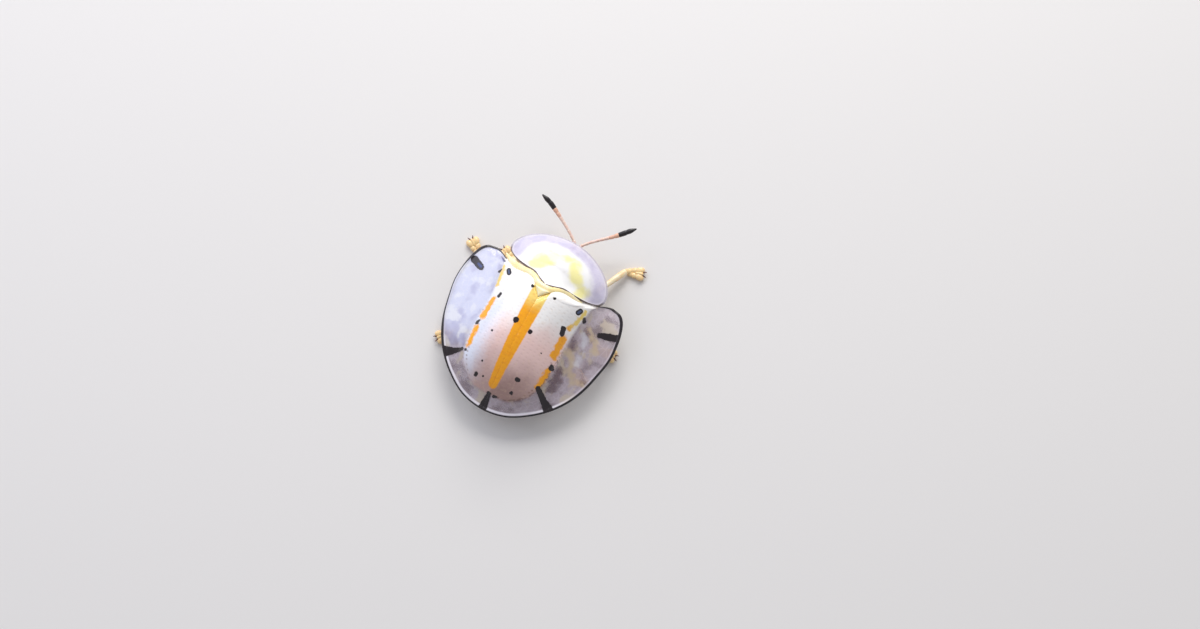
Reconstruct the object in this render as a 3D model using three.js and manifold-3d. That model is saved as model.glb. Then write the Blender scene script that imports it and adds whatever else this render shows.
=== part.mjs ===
// A tortoise beetle at life size, as a still model: wing cases and pronotum spread into a
// wide shield, with the head, the body and six legs under it. Units are millimetres, +Z is
// up, the head points to +Y and the beetle's right side is +X. While it is being built the
// tip of the wing cases is at about y = 0 and the floor at z = 0; the last lines move the
// whole beetle so that the origin is at the bottom centre of its bounding box.
import * as THREE from "three";
import { mergeVertices } from "three/addons/utils/BufferGeometryUtils.js";
import Module from "manifold-3d";

const wasm = await Module();
wasm.setup();

const { degToRad, clamp, lerp } = THREE.MathUtils;
const vec = (x, y, z) => new THREE.Vector3(x, y, z);

// Gaps between neighbours: in general, at fine pieces, and between the wing cases
const GAP = 0.25;
const FINE_GAP = 0.16;
const SUTURE_GAP = 0.25;

// Shield: heights above the floor and wall thickness, measured straight down. The rim
// rises by SHOULDER_LIFT from LIFT_FROM degrees on, over LIFT_OVER degrees.
const RIM_Z = 1.75;
const SHOULDER_LIFT = 0.06;
const LIFT_FROM = 20;
const LIFT_OVER = 20;
const MARGIN_WALL = 0.56;
const DISC_WALL = 0.8;

// Base of a wing case: ahead of BASE_Y its edge is a rounded slope, which gives way to the
// see-through margin over BASE_BLEND inside BASE_OUTER.
const BASE_Y = 7;
const BASE_OUTER = 4.6;
const BASE_BLEND = 1.4;

// Pronotum
const PRONOTUM_HALF_WIDTH = 4.1;
const PRONOTUM_BACK = 9.75;
const PRONOTUM_LENGTH = 4.24;
const PRONOTUM_CORNER = 1.6;
const PRONOTUM_RIM_Z = 2.45;
const PRONOTUM_CORNER_Z = 2.55;
const PRONOTUM_POWER = 1.8;
const PRONOTUM_LOBE_Z = 4.85;
const PRONOTUM_CENTRE_Z = 4.32;
const PRONOTUM_CENTRE = 1.7;
const PRONOTUM_TURN = degToRad(-4.5);

// Body
const BELLY_Z = 1.45;
const BELLY_RISE = 0.85;
const BELLY_POWER = 2.4;
const BODY_INSET = 0.45;
const BODY_THICKNESS = 0.12;
const BACK_GAP = GAP + 0.1;
const ABDOMEN_START = 1.75;
const WAIST = 5.75;
const THORAX_END = 9.55;

// Tail of the abdomen: it narrows and rises over its last stretch
const TAIL_LENGTH = 1.2;
const TAIL_NARROWING = 0.72;
const TAIL_RISE = 0.42;
const STERNITE_STEP = 0.1;

// Head: half widths of the skull and of an eye, and where they are
const SKULL = [0.82, 0.62, 0.78];
const EYE = [0.34, 0.42, 0.52];
const EYE_AT = [0.86, 0.1, 0.12];
const HEAD_Y = 12.85;
const HEAD_Z = 1.75;

// Legs
const FOOT_FLOOR = 0;
const COXA_RADIUS = 0.36;
const FEMUR_RADIUS = 0.34;
const TIBIA_RADIUS = 0.25;
const TARSUS_HALF_HEIGHT = 0.26;

// Value at t on a smooth curve through keys of [t, value].
function keyed(keys, t) {
  const n = keys.length - 1;
  if (t <= keys[0][0]) return keys[0][1];
  if (t >= keys[n][0]) return keys[n][1];
  const i = keys.findIndex((key) => key[0] > t) - 1;
  const slope = (k) => {
    const a = keys[Math.max(k - 1, 0)];
    const b = keys[Math.min(k + 1, n)];
    return (b[1] - a[1]) / (b[0] - a[0]);
  };
  const [t0, v0] = keys[i];
  const [t1, v1] = keys[i + 1];
  const span = t1 - t0;
  const s = (t - t0) / span;
  return (
    v0 * (1 + 2 * s) * (1 - s) ** 2 +
    slope(i) * span * s * (1 - s) ** 2 +
    v1 * s * s * (3 - 2 * s) +
    slope(i + 1) * span * s * s * (s - 1)
  );
}

// Wing case outline, seen from above, right side: key points of its edge as [x, y, z],
// from the tip round the side and the shoulder lobe, then along the base to the scutellum.
const SHIELD_CENTRE_Y = 5.6;
const RIM_KEYS = [
  [-90, 5.75], [-72, 5.72], [-54, 5.63], [-36, 5.71], [-20, 5.89], [-5, 6.13],
  [5, 6.38], [16, 6.85], [25, 7.22], [33, 7.57], [39, 7.77], [43, 7.74], [46, 7.5],
];
const SHOULDER_EDGE = [
  [4.9, 11.03, 1.85], [4.5, 10.92, 1.95], [4.1, 10.7, 2.15], [3.75, 10.5, 2.5],
  [3.35, 10.3, 2.95], [2.9, 10.1, 3.4], [2.3, 9.97, 3.9], [1.6, 9.93, 4.35],
  [1.0, 9.82, 4.65],
];
const SCUTELLUM_NOTCH = [[0.7, 9.45, 4.85], [0, 8.62, 5.05]];
const RIM_SAMPLES = 30;

// Half width of the raised disc at y, the disc's height over the suture and at its border.
const DISC_KEYS = [
  [0.95, 0], [1.0, 1.1], [1.26, 1.75], [1.66, 2.3], [2.1, 2.74], [2.8, 3.06],
  [3.67, 3.28], [5.4, 3.4], [7.2, 3.36], [8.3, 3.44], [9.4, 3.62], [10.1, 3.7],
];
const SUTURE_KEYS = [
  [0, 1.75], [0.95, 2.45], [2, 3.35], [3.5, 4.2], [5, 4.72], [6.5, 5.0], [8, 5.16],
  [8.9, 5.16], [9.6, 5.05], [10.2, 4.9],
];
const BORDER_KEYS = [[0.95, 2.42], [2, 2.75], [3, 2.95], [5, 3.1], [7, 3.15], [10, 3.3]];
const DISC_POWER = 2.3;

const discHalfWidth = (y) => keyed(DISC_KEYS, y);

function discHeight(x, y) {
  const half = Math.max(discHalfWidth(y), 0.05);
  const across = clamp(Math.abs(x) / half, 0, 1);
  const border = keyed(BORDER_KEYS, y);
  return border + (keyed(SUTURE_KEYS, y) - border) * (1 - across ** DISC_POWER);
}

// Closed grid of points: rings joined in order, with a fan over each end.
function loft(rings, closed = false) {
  const count = rings[0].length;
  const points = rings.flat();
  const index = [];
  const joins = closed ? rings.length : rings.length - 1;
  for (let i = 0; i < joins; i++) {
    const next = (i + 1) % rings.length;
    for (let j = 0; j < count; j++) {
      const a = i * count + j;
      const b = i * count + ((j + 1) % count);
      const c = next * count + j;
      const d = next * count + ((j + 1) % count);
      index.push(a, c, b, b, c, d);
    }
  }
  if (!closed) {
    for (const [ring, turned] of [[0, true], [rings.length - 1, false]]) {
      const middle = points.length;
      const mean = vec(0, 0, 0);
      rings[ring].forEach((p) => mean.add(p));
      points.push(mean.divideScalar(count));
      for (let j = 0; j < count; j++) {
        const a = ring * count + j;
        const b = ring * count + ((j + 1) % count);
        index.push(...(turned ? [middle, a, b] : [middle, b, a]));
      }
    }
  }
  const geometry = new THREE.BufferGeometry().setFromPoints(points);
  geometry.setIndex(index);
  return geometry;
}

// A geometry as a manifold solid, turned the right way out if need be.
function solid(geometry) {
  const bare = geometry.clone();
  bare.deleteAttribute("normal");
  bare.deleteAttribute("uv");
  const merged = mergeVertices(bare, 1e-4);
  const corners = merged.index.array;
  const make = (turned) => {
    const triVerts = [];
    for (let i = 0; i < corners.length; i += 3) {
      const [a, b, c] = [corners[i], corners[i + 1], corners[i + 2]];
      if (a === b || b === c || a === c) continue;
      triVerts.push(...(turned ? [a, c, b] : [a, b, c]));
    }
    return new wasm.Manifold(
      new wasm.Mesh({
        numProp: 3,
        vertProperties: merged.attributes.position.array,
        triVerts: new Uint32Array(triVerts),
      }),
    );
  };
  const made = make(false);
  return made.volume() < 0 ? make(true) : made;
}

// A manifold solid's largest closed body as a geometry.
function largest(made) {
  const bodies = made.decompose();
  const body = bodies.reduce((best, b) => (b.volume() > best.volume() ? b : best));
  const mesh = body.getMesh();
  const geometry = new THREE.BufferGeometry();
  const position = new Float32Array(mesh.numVert * 3);
  for (let i = 0; i < mesh.numVert; i++) {
    position.set(mesh.vertProperties.subarray(i * mesh.numProp, i * mesh.numProp + 3), i * 3);
  }
  geometry.setAttribute("position", new THREE.BufferAttribute(position, 3));
  geometry.setIndex(new THREE.BufferAttribute(mesh.triVerts, 1));
  return geometry;
}

const joined = (geometries) =>
  geometries.map(solid).reduce((all, piece) => all.add(piece));

// What of a solid is above the floor, which leaves a flat sole under a foot.
const FLOOR_BLOCK = 40;
function standing(made) {
  const block = new THREE.BoxGeometry(FLOOR_BLOCK, FLOOR_BLOCK, FLOOR_BLOCK);
  block.translate(0, 0, FOOT_FLOOR - FLOOR_BLOCK / 2);
  return made.subtract(solid(block));
}

// Tube through centres with an oval section at each: across and up are its half widths.
function limb(centres, across, up, sides = 8) {
  const rings = centres.map((centre, i) => {
    const before = centres[Math.max(i - 1, 0)];
    const after = centres[Math.min(i + 1, centres.length - 1)];
    const along = after.clone().sub(before).normalize();
    const side = along.clone().cross(vec(0, 0, 1)).normalize();
    const top = side.clone().cross(along).normalize();
    return Array.from({ length: sides }, (_, j) => {
      const angle = ((j + 0.5) / sides) * 2 * Math.PI;
      return centre
        .clone()
        .addScaledVector(side, Math.cos(angle) * across[i])
        .addScaledVector(top, Math.sin(angle) * up[i]);
    });
  });
  return loft(rings);
}

// Egg with half widths size, its long axis along +Y before it is turned.
function egg(centre, size, turn = 0, wide = 10, tall = 6) {
  const ball = new THREE.SphereGeometry(1, wide, tall);
  ball.rotateX(Math.PI / 2);
  ball.scale(size.x, size.y, size.z);
  ball.rotateZ(turn);
  ball.translate(centre.x, centre.y, centre.z);
  return ball;
}

// Wing case
function wingCaseEdge() {
  const rim = Array.from({ length: RIM_SAMPLES }, (_, i) => {
    const first = RIM_KEYS[0][0];
    const last = RIM_KEYS[RIM_KEYS.length - 1][0];
    const degrees = lerp(first, last, i / (RIM_SAMPLES - 1));
    const radius = keyed(RIM_KEYS, degrees);
    const angle = degToRad(degrees);
    const lift = SHOULDER_LIFT * clamp((degrees - LIFT_FROM) / LIFT_OVER, 0, 1);
    return vec(
      Math.cos(angle) * radius,
      SHIELD_CENTRE_Y + Math.sin(angle) * radius,
      RIM_Z + lift,
    );
  });
  rim[0].x = 0;
  const base = [...SHOULDER_EDGE, ...SCUTELLUM_NOTCH].map((p) => vec(...p));
  return [...rim, ...base];
}

// Where the ray from the shield's centre to an edge point crosses the disc's border,
// as a share of the ray. Along the base the disc rounds off over a short slope instead.
const BASE_SLOPE = 0.9;
function borderShare(edge) {
  const length = Math.hypot(edge.x, edge.y - SHIELD_CENTRE_Y);
  const onBase = 1 - BASE_SLOPE / length;
  for (let share = 0.4; share < onBase; share += 0.005) {
    const x = edge.x * share;
    const y = lerp(SHIELD_CENTRE_Y, edge.y, share);
    const tail = y < DISC_KEYS[0][0];
    if (tail || Math.abs(x) > discHalfWidth(y)) return share;
  }
  return onBase;
}

// Half the gap at the suture is taken from each wing case over this distance from it.
const SUTURE_FADE = 5;
const DISC_RINGS = 6;
const MARGIN_RINGS = 4;
function wingCaseSection(edge) {
  const share = borderShare(edge);
  const bx = edge.x * share;
  const by = lerp(SHIELD_CENTRE_Y, edge.y, share);
  const borderZ = discHeight(bx, by);
  const base = edge.y > BASE_Y ? clamp((BASE_OUTER - edge.x) / BASE_BLEND, 0, 1) : 0;
  const top = [];
  const wall = [];
  for (let i = 1; i <= DISC_RINGS; i++) {
    const t = (i / DISC_RINGS) * share;
    const x = edge.x * t;
    const y = lerp(SHIELD_CENTRE_Y, edge.y, t);
    top.push(vec(x, y, discHeight(x, y)));
    wall.push(DISC_WALL);
  }
  for (let i = 1; i <= MARGIN_RINGS; i++) {
    const m = i / MARGIN_RINGS;
    const t = lerp(share, 1, m);
    const left = 1 - m;
    const hollow = 0.35 * left + 0.65 * left * left;
    const rounded = left * (2 - left);
    const z = edge.z + (borderZ - edge.z) * lerp(hollow, rounded, base);
    top.push(vec(edge.x * t, lerp(SHIELD_CENTRE_Y, edge.y, t), z));
    wall.push(lerp(DISC_WALL, MARGIN_WALL, m));
  }
  const bottom = top.map((p, i) => vec(p.x, p.y, p.z - wall[i]));
  return { top, bottom };
}

function wingCase(side) {
  const sections = wingCaseEdge().map(wingCaseSection);
  const rings = sections[0].top.length;
  const shift = (x) => (SUTURE_GAP / 2) * Math.max(1 - x / SUTURE_FADE, 0);
  const place = (p) => vec(side * (p.x + shift(p.x)), p.y, p.z);
  const points = [];
  const index = [];
  const crown = discHeight(0, SHIELD_CENTRE_Y);
  points.push(place(vec(0, SHIELD_CENTRE_Y, crown)));
  points.push(place(vec(0, SHIELD_CENTRE_Y, crown - DISC_WALL)));
  const at = (k, i, under) => 2 + (k * rings + i) * 2 + under;
  sections.forEach(({ top, bottom }) => {
    top.forEach((p, i) => points.push(place(p), place(bottom[i])));
  });
  const quad = (a, b, c, d) => index.push(a, b, c, a, c, d);
  for (let k = 0; k < sections.length - 1; k++) {
    index.push(0, at(k, 0, 0), at(k + 1, 0, 0));
    index.push(1, at(k + 1, 0, 1), at(k, 0, 1));
    for (let i = 0; i < rings - 1; i++) {
      quad(at(k, i, 0), at(k, i + 1, 0), at(k + 1, i + 1, 0), at(k + 1, i, 0));
      quad(at(k, i, 1), at(k + 1, i, 1), at(k + 1, i + 1, 1), at(k, i + 1, 1));
    }
    const rim = rings - 1;
    quad(at(k, rim, 0), at(k, rim, 1), at(k + 1, rim, 1), at(k + 1, rim, 0));
  }
  const last = sections.length - 1;
  quad(1, at(0, 0, 1), at(0, 0, 0), 0);
  quad(0, at(last, 0, 0), at(last, 0, 1), 1);
  for (let i = 0; i < rings - 1; i++) {
    quad(at(0, i, 1), at(0, i + 1, 1), at(0, i + 1, 0), at(0, i, 0));
    quad(at(last, i, 0), at(last, i + 1, 0), at(last, i + 1, 1), at(last, i, 1));
  }
  const geometry = new THREE.BufferGeometry().setFromPoints(points);
  geometry.setIndex(index);
  return largest(solid(geometry));
}

// Scutellum, the small plate between the bases of the wing cases, as rings of a triangle
// given by height and share of its size
const SCUTELLUM_RINGS = [[4.2, 0.8], [4.92, 1], [5.04, 0.7]];
function scutellum() {
  const [corner, tip] = SCUTELLUM_NOTCH;
  const slant = Math.atan2(corner[0] - tip[0], corner[1] - tip[1]);
  const back = tip[1] - SUTURE_GAP / 2 / Math.tan(slant) + FINE_GAP / Math.sin(slant);
  const front = corner[1] - FINE_GAP;
  const half = (front - back) * Math.tan(slant);
  const outline = [[-half, front], [0, back], [half, front]];
  const ring = ([z, grow]) => outline.map(([x, y]) => vec(x * grow, y, z));
  return largest(solid(loft(SCUTELLUM_RINGS.map(ring))));
}

// Pronotum: its edge in its own frame, with the middle of its back edge at the origin
const PRONOTUM_REAR = [
  [0, 0, PRONOTUM_LOBE_Z], [0.7, 0.25, 4.72], [1.3, 0.52, 4.48], [2.1, 0.6, 4.05],
  [2.9, 0.75, 3.45], [3.5, 0.96, 2.95], [3.93, 1.22, 2.65],
];
const FRONT_SAMPLES = 20;
const FRONT_POWER = 1.85;
function pronotumEdge() {
  const rear = PRONOTUM_REAR.map(([x, y, z]) => vec(x, y, z));
  const front = Array.from({ length: FRONT_SAMPLES + 1 }, (_, i) => {
    const angle = (i / FRONT_SAMPLES) * (Math.PI / 2);
    const x = Math.cos(angle) ** (2 / FRONT_POWER) * PRONOTUM_HALF_WIDTH;
    const rise = Math.sin(angle) ** (2 / FRONT_POWER);
    const y = PRONOTUM_CORNER + (PRONOTUM_LENGTH - PRONOTUM_CORNER) * rise;
    return vec(i === FRONT_SAMPLES ? 0 : x, y, lerp(PRONOTUM_CORNER_Z, PRONOTUM_RIM_Z, rise));
  });
  const right = [...rear, ...front];
  const left = right.slice(1, -1).reverse().map((p) => vec(-p.x, p.y, p.z));
  return [...right, ...left];
}

const PRONOTUM_RINGS = 7;
function pronotum() {
  const centre = vec(0, PRONOTUM_CENTRE, PRONOTUM_CENTRE_Z);
  const edge = pronotumEdge();
  const points = [centre, vec(centre.x, centre.y, centre.z - DISC_WALL)];
  const index = [];
  const at = (k, i, under) => 2 + ((k % edge.length) * PRONOTUM_RINGS + i) * 2 + under;
  edge.forEach((rim, k) => {
    for (let i = 1; i <= PRONOTUM_RINGS; i++) {
      const q = i / PRONOTUM_RINGS;
      const z = lerp(centre.z, rim.z, q ** PRONOTUM_POWER);
      const x = lerp(centre.x, rim.x, q);
      const y = lerp(centre.y, rim.y, q);
      points.push(vec(x, y, z), vec(x, y, z - lerp(DISC_WALL, MARGIN_WALL, q ** 3)));
    }
  });
  const quad = (a, b, c, d) => index.push(a, b, c, a, c, d);
  for (let k = 0; k < edge.length; k++) {
    index.push(0, at(k, 0, 0), at(k + 1, 0, 0));
    index.push(1, at(k + 1, 0, 1), at(k, 0, 1));
    for (let i = 0; i < PRONOTUM_RINGS - 1; i++) {
      quad(at(k, i, 0), at(k, i + 1, 0), at(k + 1, i + 1, 0), at(k + 1, i, 0));
      quad(at(k, i, 1), at(k + 1, i, 1), at(k + 1, i + 1, 1), at(k, i + 1, 1));
    }
    const rim = PRONOTUM_RINGS - 1;
    quad(at(k, rim, 0), at(k, rim, 1), at(k + 1, rim, 1), at(k + 1, rim, 0));
  }
  const geometry = new THREE.BufferGeometry().setFromPoints(points);
  geometry.setIndex(index);
  return largest(solid(geometry));
}

// Height of the pronotum's top over a point of its own frame
function pronotumHeight(x, y) {
  const edge = pronotumEdge();
  const angle = Math.atan2(y - PRONOTUM_CENTRE, x);
  const angles = edge.map((p) => Math.atan2(p.y - PRONOTUM_CENTRE, p.x));
  const wrap = (a) => ((a - angle + 3 * Math.PI) % (2 * Math.PI)) - Math.PI;
  let best = 0;
  angles.forEach((a, k) => {
    if (Math.abs(wrap(a)) < Math.abs(wrap(angles[best]))) best = k;
  });
  const rim = edge[best];
  const reach = Math.hypot(rim.x, rim.y - PRONOTUM_CENTRE);
  const q = Math.min(Math.hypot(x, y - PRONOTUM_CENTRE) / reach, 1);
  return lerp(PRONOTUM_CENTRE_Z, rim.z, q ** PRONOTUM_POWER);
}

// Body slice at y: a loop of the back under the wing cases and of the belly
const SLICE_SIDES = 24;
function bodySlice(y, half, top, belly, rise) {
  return Array.from({ length: SLICE_SIDES }, (_, j) => {
    const angle = (j / SLICE_SIDES) * 2 * Math.PI;
    const x = Math.cos(angle) * half;
    const under = belly + rise * Math.abs(x / half) ** BELLY_POWER;
    const over = Math.max(top(x, y), under + BODY_THICKNESS);
    const share = Math.abs(Math.sin(angle)) < 1e-6 ? 0.5 : Math.sin(angle) > 0 ? 1 : 0;
    return vec(x, y, lerp(under, over, share));
  });
}

const underWingCase = (x, y) => discHeight(x, y) - DISC_WALL - BACK_GAP;

// Abdomen: five sternites, each a shallow step on the belly
const STERNITES = 5;
function abdomen() {
  const rings = [];
  const length = WAIST - ABDOMEN_START;
  for (let i = 0; i < STERNITES; i++) {
    for (const t of [0.04, 0.5, 0.96]) {
      const y = ABDOMEN_START + length * ((i + t) / STERNITES);
      const step = STERNITE_STEP * (1 - t);
      const round = 1 - (1 - clamp((y - ABDOMEN_START) / TAIL_LENGTH, 0, 1)) ** 3;
      const half = (discHalfWidth(y) - BODY_INSET) * lerp(TAIL_NARROWING, 1, round);
      const belly = BELLY_Z + TAIL_RISE * (1 - round) + step;
      rings.push(bodySlice(y, half, underWingCase, belly, BELLY_RISE * 0.8));
    }
  }
  return largest(solid(loft(rings)));
}

// Middle and hind thorax in one, with the raised plate of the breast between the legs
function thorax() {
  const start = WAIST + GAP;
  const steps = 9;
  const rings = Array.from({ length: steps + 1 }, (_, i) => {
    const t = i / steps;
    const y = lerp(start, THORAX_END, t);
    const half = (discHalfWidth(y) - BODY_INSET) * (1 - 0.3 * t * t);
    const belly = BELLY_Z + 0.05 * Math.cos(t * Math.PI * 2);
    return bodySlice(y, half, underWingCase, belly, BELLY_RISE);
  });
  const keel = limb(
    [vec(0, start + 0.3, BELLY_Z + 0.1), vec(0, 7.4, BELLY_Z + 0.05), vec(0, 9.2, BELLY_Z + 0.1)],
    [0.5, 0.75, 0.3],
    [0.16, 0.2, 0.18],
  );
  return largest(joined([loft(rings), keel]));
}

// First thorax ring, under the pronotum, in the pronotum's frame
function prothorax() {
  const start = 0.15;
  const end = 1.95;
  const steps = 6;
  const under = (x, y) => pronotumHeight(x, y) - DISC_WALL - BACK_GAP;
  const rings = Array.from({ length: steps + 1 }, (_, i) => {
    const t = i / steps;
    const y = lerp(start, end, t);
    return bodySlice(y, lerp(2.3, 1.5, t * t), under, BELLY_Z, 0.5);
  });
  const keel = limb(
    [vec(0, 0.1, BELLY_Z + 0.08), vec(0, 0.7, BELLY_Z - 0.04), vec(0, 1.7, BELLY_Z + 0.12)],
    [0.4, 0.26, 0.3],
    [0.16, 0.22, 0.2],
  );
  return largest(joined([loft(rings), keel]));
}

// Head: face turned forward and down, with the jaws, lip and palps under it. Its own frame
// has the middle of the skull at the origin.
function head() {
  const skull = egg(vec(0, 0, 0), vec(...SKULL), 0, 16, 12);
  const face = egg(vec(0, 0.28, -0.12), vec(0.5, 0.46, 0.5), 0, 12, 8);
  const lip = egg(vec(0, 0.3, -0.6), vec(0.4, 0.28, 0.26), 0, 10, 6);
  const jaws = [-1, 1].map((side) =>
    limb(
      [vec(side * 0.34, 0.2, -0.45), vec(side * 0.33, 0.24, -0.75), vec(side * 0.1, 0.26, -0.92)],
      [0.25, 0.22, 0.08],
      [0.25, 0.2, 0.07],
      6,
    ),
  );
  const palps = [-1, 1].map((side) =>
    limb(
      [vec(side * 0.45, -0.05, -0.45), vec(side * 0.62, 0.0, -0.75), vec(side * 0.5, 0.1, -0.98)],
      [0.22, 0.2, 0.1],
      [0.22, 0.2, 0.1],
      6,
    ),
  );
  const neck = limb([vec(0, -0.2, 0.1), vec(0, -0.72, 0.12)], [0.62, 0.6], [0.58, 0.55], 12);
  return largest(joined([skull, face, lip, ...jaws, ...palps, neck]));
}

// Eye: a tall bean at the side of the skull, its inner face hollowed to the skull's shape
function eye(side) {
  const [x, y, z] = EYE_AT;
  const bean = solid(egg(vec(side * x, y, z), vec(...EYE), 0, 14, 10));
  const seat = egg(vec(0, 0, 0), vec(...SKULL.map((half) => half + FINE_GAP)), 0, 16, 12);
  return largest(bean.subtract(solid(seat)));
}

// Feeler: eleven joints on a bent line, thin at first and clubbed towards the tip
const JOINT_LENGTHS = [0.62, 0.34, 0.5, 0.48, 0.44, 0.4, 0.4, 0.42, 0.44, 0.62, 0.86];
const JOINT_RADII = [0.27, 0.25, 0.25, 0.25, 0.25, 0.25, 0.26, 0.28, 0.3, 0.31, 0.28];
function feeler(points) {
  const path = new THREE.CatmullRomCurve3(points);
  const whole = JOINT_LENGTHS.reduce((sum, length) => sum + length);
  const centres = [];
  const radii = [];
  let run = 0;
  JOINT_LENGTHS.forEach((length, i) => {
    const last = i === JOINT_LENGTHS.length - 1;
    for (const [t, share] of [[0.06, 0.8], [0.6, 1], [0.94, last ? 0.3 : 0.86]]) {
      centres.push(path.getPointAt((run + length * t) / whole));
      radii.push(JOINT_RADII[i] * share);
    }
    run += length;
  });
  return largest(solid(limb(centres, radii, radii, 6)));
}

// Each feeler from its root at the face to its tip
const FEELERS = {
  right: [
    vec(0.64, 13.75, 1.3), vec(0.78, 14.3, 1.55), vec(2.57, 16.07, 2.25),
    vec(3.66, 17.2, 2.5),
  ],
  left: [
    vec(0.06, 13.77, 1.3), vec(-0.04, 14.22, 1.55), vec(-2.82, 15.83, 2.25),
    vec(-3.88, 16.17, 2.5),
  ],
};

// Leg: coxa, femur, tibia and a foot of three lobed joints, a claw joint and two claws.
// It is given by the places of its coxa, knee, ankle and toe.
const CLAW_LENGTH = 0.3;
function leg({ coxa, knee, ankle, toe }) {
  const hip = vec(coxa.x, coxa.y, 0.88);
  const coxaPiece = limb(
    [vec(coxa.x, coxa.y, BELLY_Z - GAP), vec(coxa.x, coxa.y + 0.001, 0.62)],
    [COXA_RADIUS, COXA_RADIUS * 0.8],
    [COXA_RADIUS, COXA_RADIUS * 0.8],
    10,
  );
  const femurShares = [0, 0.15, 0.45, 0.75, 0.95, 1.03];
  const femurWidths = [0.7, 0.9, 1.05, 0.95, 0.72, 0.45];
  const femur = limb(
    femurShares.map((t) => hip.clone().lerp(knee, t)),
    femurWidths.map((w) => w * FEMUR_RADIUS),
    femurWidths.map((w) => w * FEMUR_RADIUS * 0.85),
  );
  const tibiaShares = [-0.03, 0.08, 0.5, 0.9, 1];
  const tibiaWidths = [0.8, 1, 1, 1.25, 1.05];
  const tibia = limb(
    tibiaShares.map((t) => knee.clone().lerp(ankle, t)),
    tibiaWidths.map((w) => w * TIBIA_RADIUS),
    tibiaWidths.map((w) => w * TIBIA_RADIUS),
  );
  return largest(standing(joined([coxaPiece, femur, tibia, ...foot(ankle, toe)])));
}

function foot(ankle, toe) {
  const flat = vec(toe.x - ankle.x, toe.y - ankle.y, 0);
  const length = flat.length();
  const along = flat.clone().normalize();
  const side = vec(along.y, -along.x, 0);
  const turn = Math.atan2(along.y, along.x) - Math.PI / 2;
  const at = (t, offset, z) =>
    vec(ankle.x, ankle.y, z).addScaledVector(along, t * length).addScaledVector(side, offset);
  const sole = TARSUS_HALF_HEIGHT * 0.86;
  const lobes = [[0.2, 0.13, 0.24, 0.2], [0.46, 0.2, 0.27, 0.21], [0.74, 0.25, 0.34, 0.24]];
  const pieces = [limb([at(-0.08, 0, 0.36), at(0.3, 0, 0.3)], [0.24, 0.24], [0.24, 0.24])];
  for (const [t, offset, long, wide] of lobes) {
    for (const hand of [-1, 1]) {
      const size = vec(wide, long, TARSUS_HALF_HEIGHT);
      pieces.push(egg(at(t, hand * offset, sole), size, turn - hand * 0.25, 8, 6));
    }
  }
  pieces.push(limb([at(0.55, 0, 0.32), at(0.96, 0, 0.3)], [0.2, 0.23], [0.2, 0.22], 6));
  for (const hand of [-1, 1]) {
    const root = at(0.92, hand * 0.13, 0.28);
    const bend = root.clone().addScaledVector(along, CLAW_LENGTH * 0.6);
    bend.addScaledVector(side, hand * 0.1);
    const tip = bend.clone().addScaledVector(along, CLAW_LENGTH * 0.4);
    tip.z = 0.12;
    pieces.push(limb([root, bend, tip], [0.13, 0.12, 0.04], [0.13, 0.12, 0.04], 6));
  }
  return pieces;
}

// Each leg's pose, from the places where its foot shows beside the shield
const LEGS = {
  front_right: {
    coxa: vec(0.85, 10.95, 0), knee: vec(3.2, 11.6, 1.25),
    ankle: vec(4.34, 14.41, 0.42), toe: vec(5.62, 14.83, 0),
  },
  front_left: {
    coxa: vec(-0.75, 10.95, 0), knee: vec(-2.2, 12.75, 1.3),
    ankle: vec(-3.6, 10.93, 0.42), toe: vec(-4.85, 11.47, 0),
  },
  middle_right: {
    coxa: vec(1.45, 8.7, 0), knee: vec(3.75, 8.85, 1.4),
    ankle: vec(5.45, 8.05, 0.42), toe: vec(6.75, 8.15, 0),
  },
  middle_left: {
    coxa: vec(-1.45, 8.7, 0), knee: vec(-3.6, 9.1, 1.4),
    ankle: vec(-6.1, 10.25, 0.42), toe: vec(-7.2, 11.05, 0),
  },
  hind_right: {
    coxa: vec(1.35, 6.6, 0), knee: vec(3.55, 6.75, 1.4),
    ankle: vec(4.6, 5.95, 0.42), toe: vec(5.6, 5.15, 0),
  },
  hind_left: {
    coxa: vec(-1.35, 6.6, 0), knee: vec(-3.5, 6.15, 1.4),
    ankle: vec(-4.95, 4.0, 0.42), toe: vec(-5.85, 3.0, 0),
  },
};

// Materials
const finish = (color, roughness) =>
  new THREE.MeshStandardMaterial({ color, roughness, metalness: 0 });
const PEARL = finish(0xe6dcdc, 0.25);
const CREAM_SHIELD = finish(0xf3efd0, 0.3);
const CREAM = finish(0xe8cf94, 0.5);
const FEELER_TONE = finish(0xdcb6a8, 0.5);
const EYE_BLACK = finish(0x1a1416, 0.2);

const beetle = new THREE.Group();
function add(name, geometry, material, parent = beetle) {
  const mesh = new THREE.Mesh(geometry, material);
  mesh.name = name;
  parent.add(mesh);
  return mesh;
}

add("elytron_right", wingCase(1), PEARL);
add("elytron_left", wingCase(-1), PEARL);
add("scutellum", scutellum(), CREAM_SHIELD);
add("abdomen", abdomen(), CREAM);
add("thorax", thorax(), CREAM);

// The pronotum and what is under it turn a little to the right together.
const foreBody = new THREE.Group();
foreBody.position.set(0, PRONOTUM_BACK, 0);
foreBody.rotation.z = PRONOTUM_TURN;
beetle.add(foreBody);
add("pronotum", pronotum(), CREAM_SHIELD, foreBody);
add("prothorax", prothorax(), CREAM, foreBody);

const headGroup = new THREE.Group();
headGroup.position.set(0, HEAD_Y - PRONOTUM_BACK, HEAD_Z);
foreBody.add(headGroup);
add("head", head(), CREAM, headGroup);
add("eye_right", eye(1), EYE_BLACK, headGroup);
add("eye_left", eye(-1), EYE_BLACK, headGroup);

for (const [name, places] of Object.entries(FEELERS)) {
  add("antenna_" + name, feeler(places), FEELER_TONE);
}

for (const [name, pose] of Object.entries(LEGS)) add("leg_" + name, leg(pose), CREAM);

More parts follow.
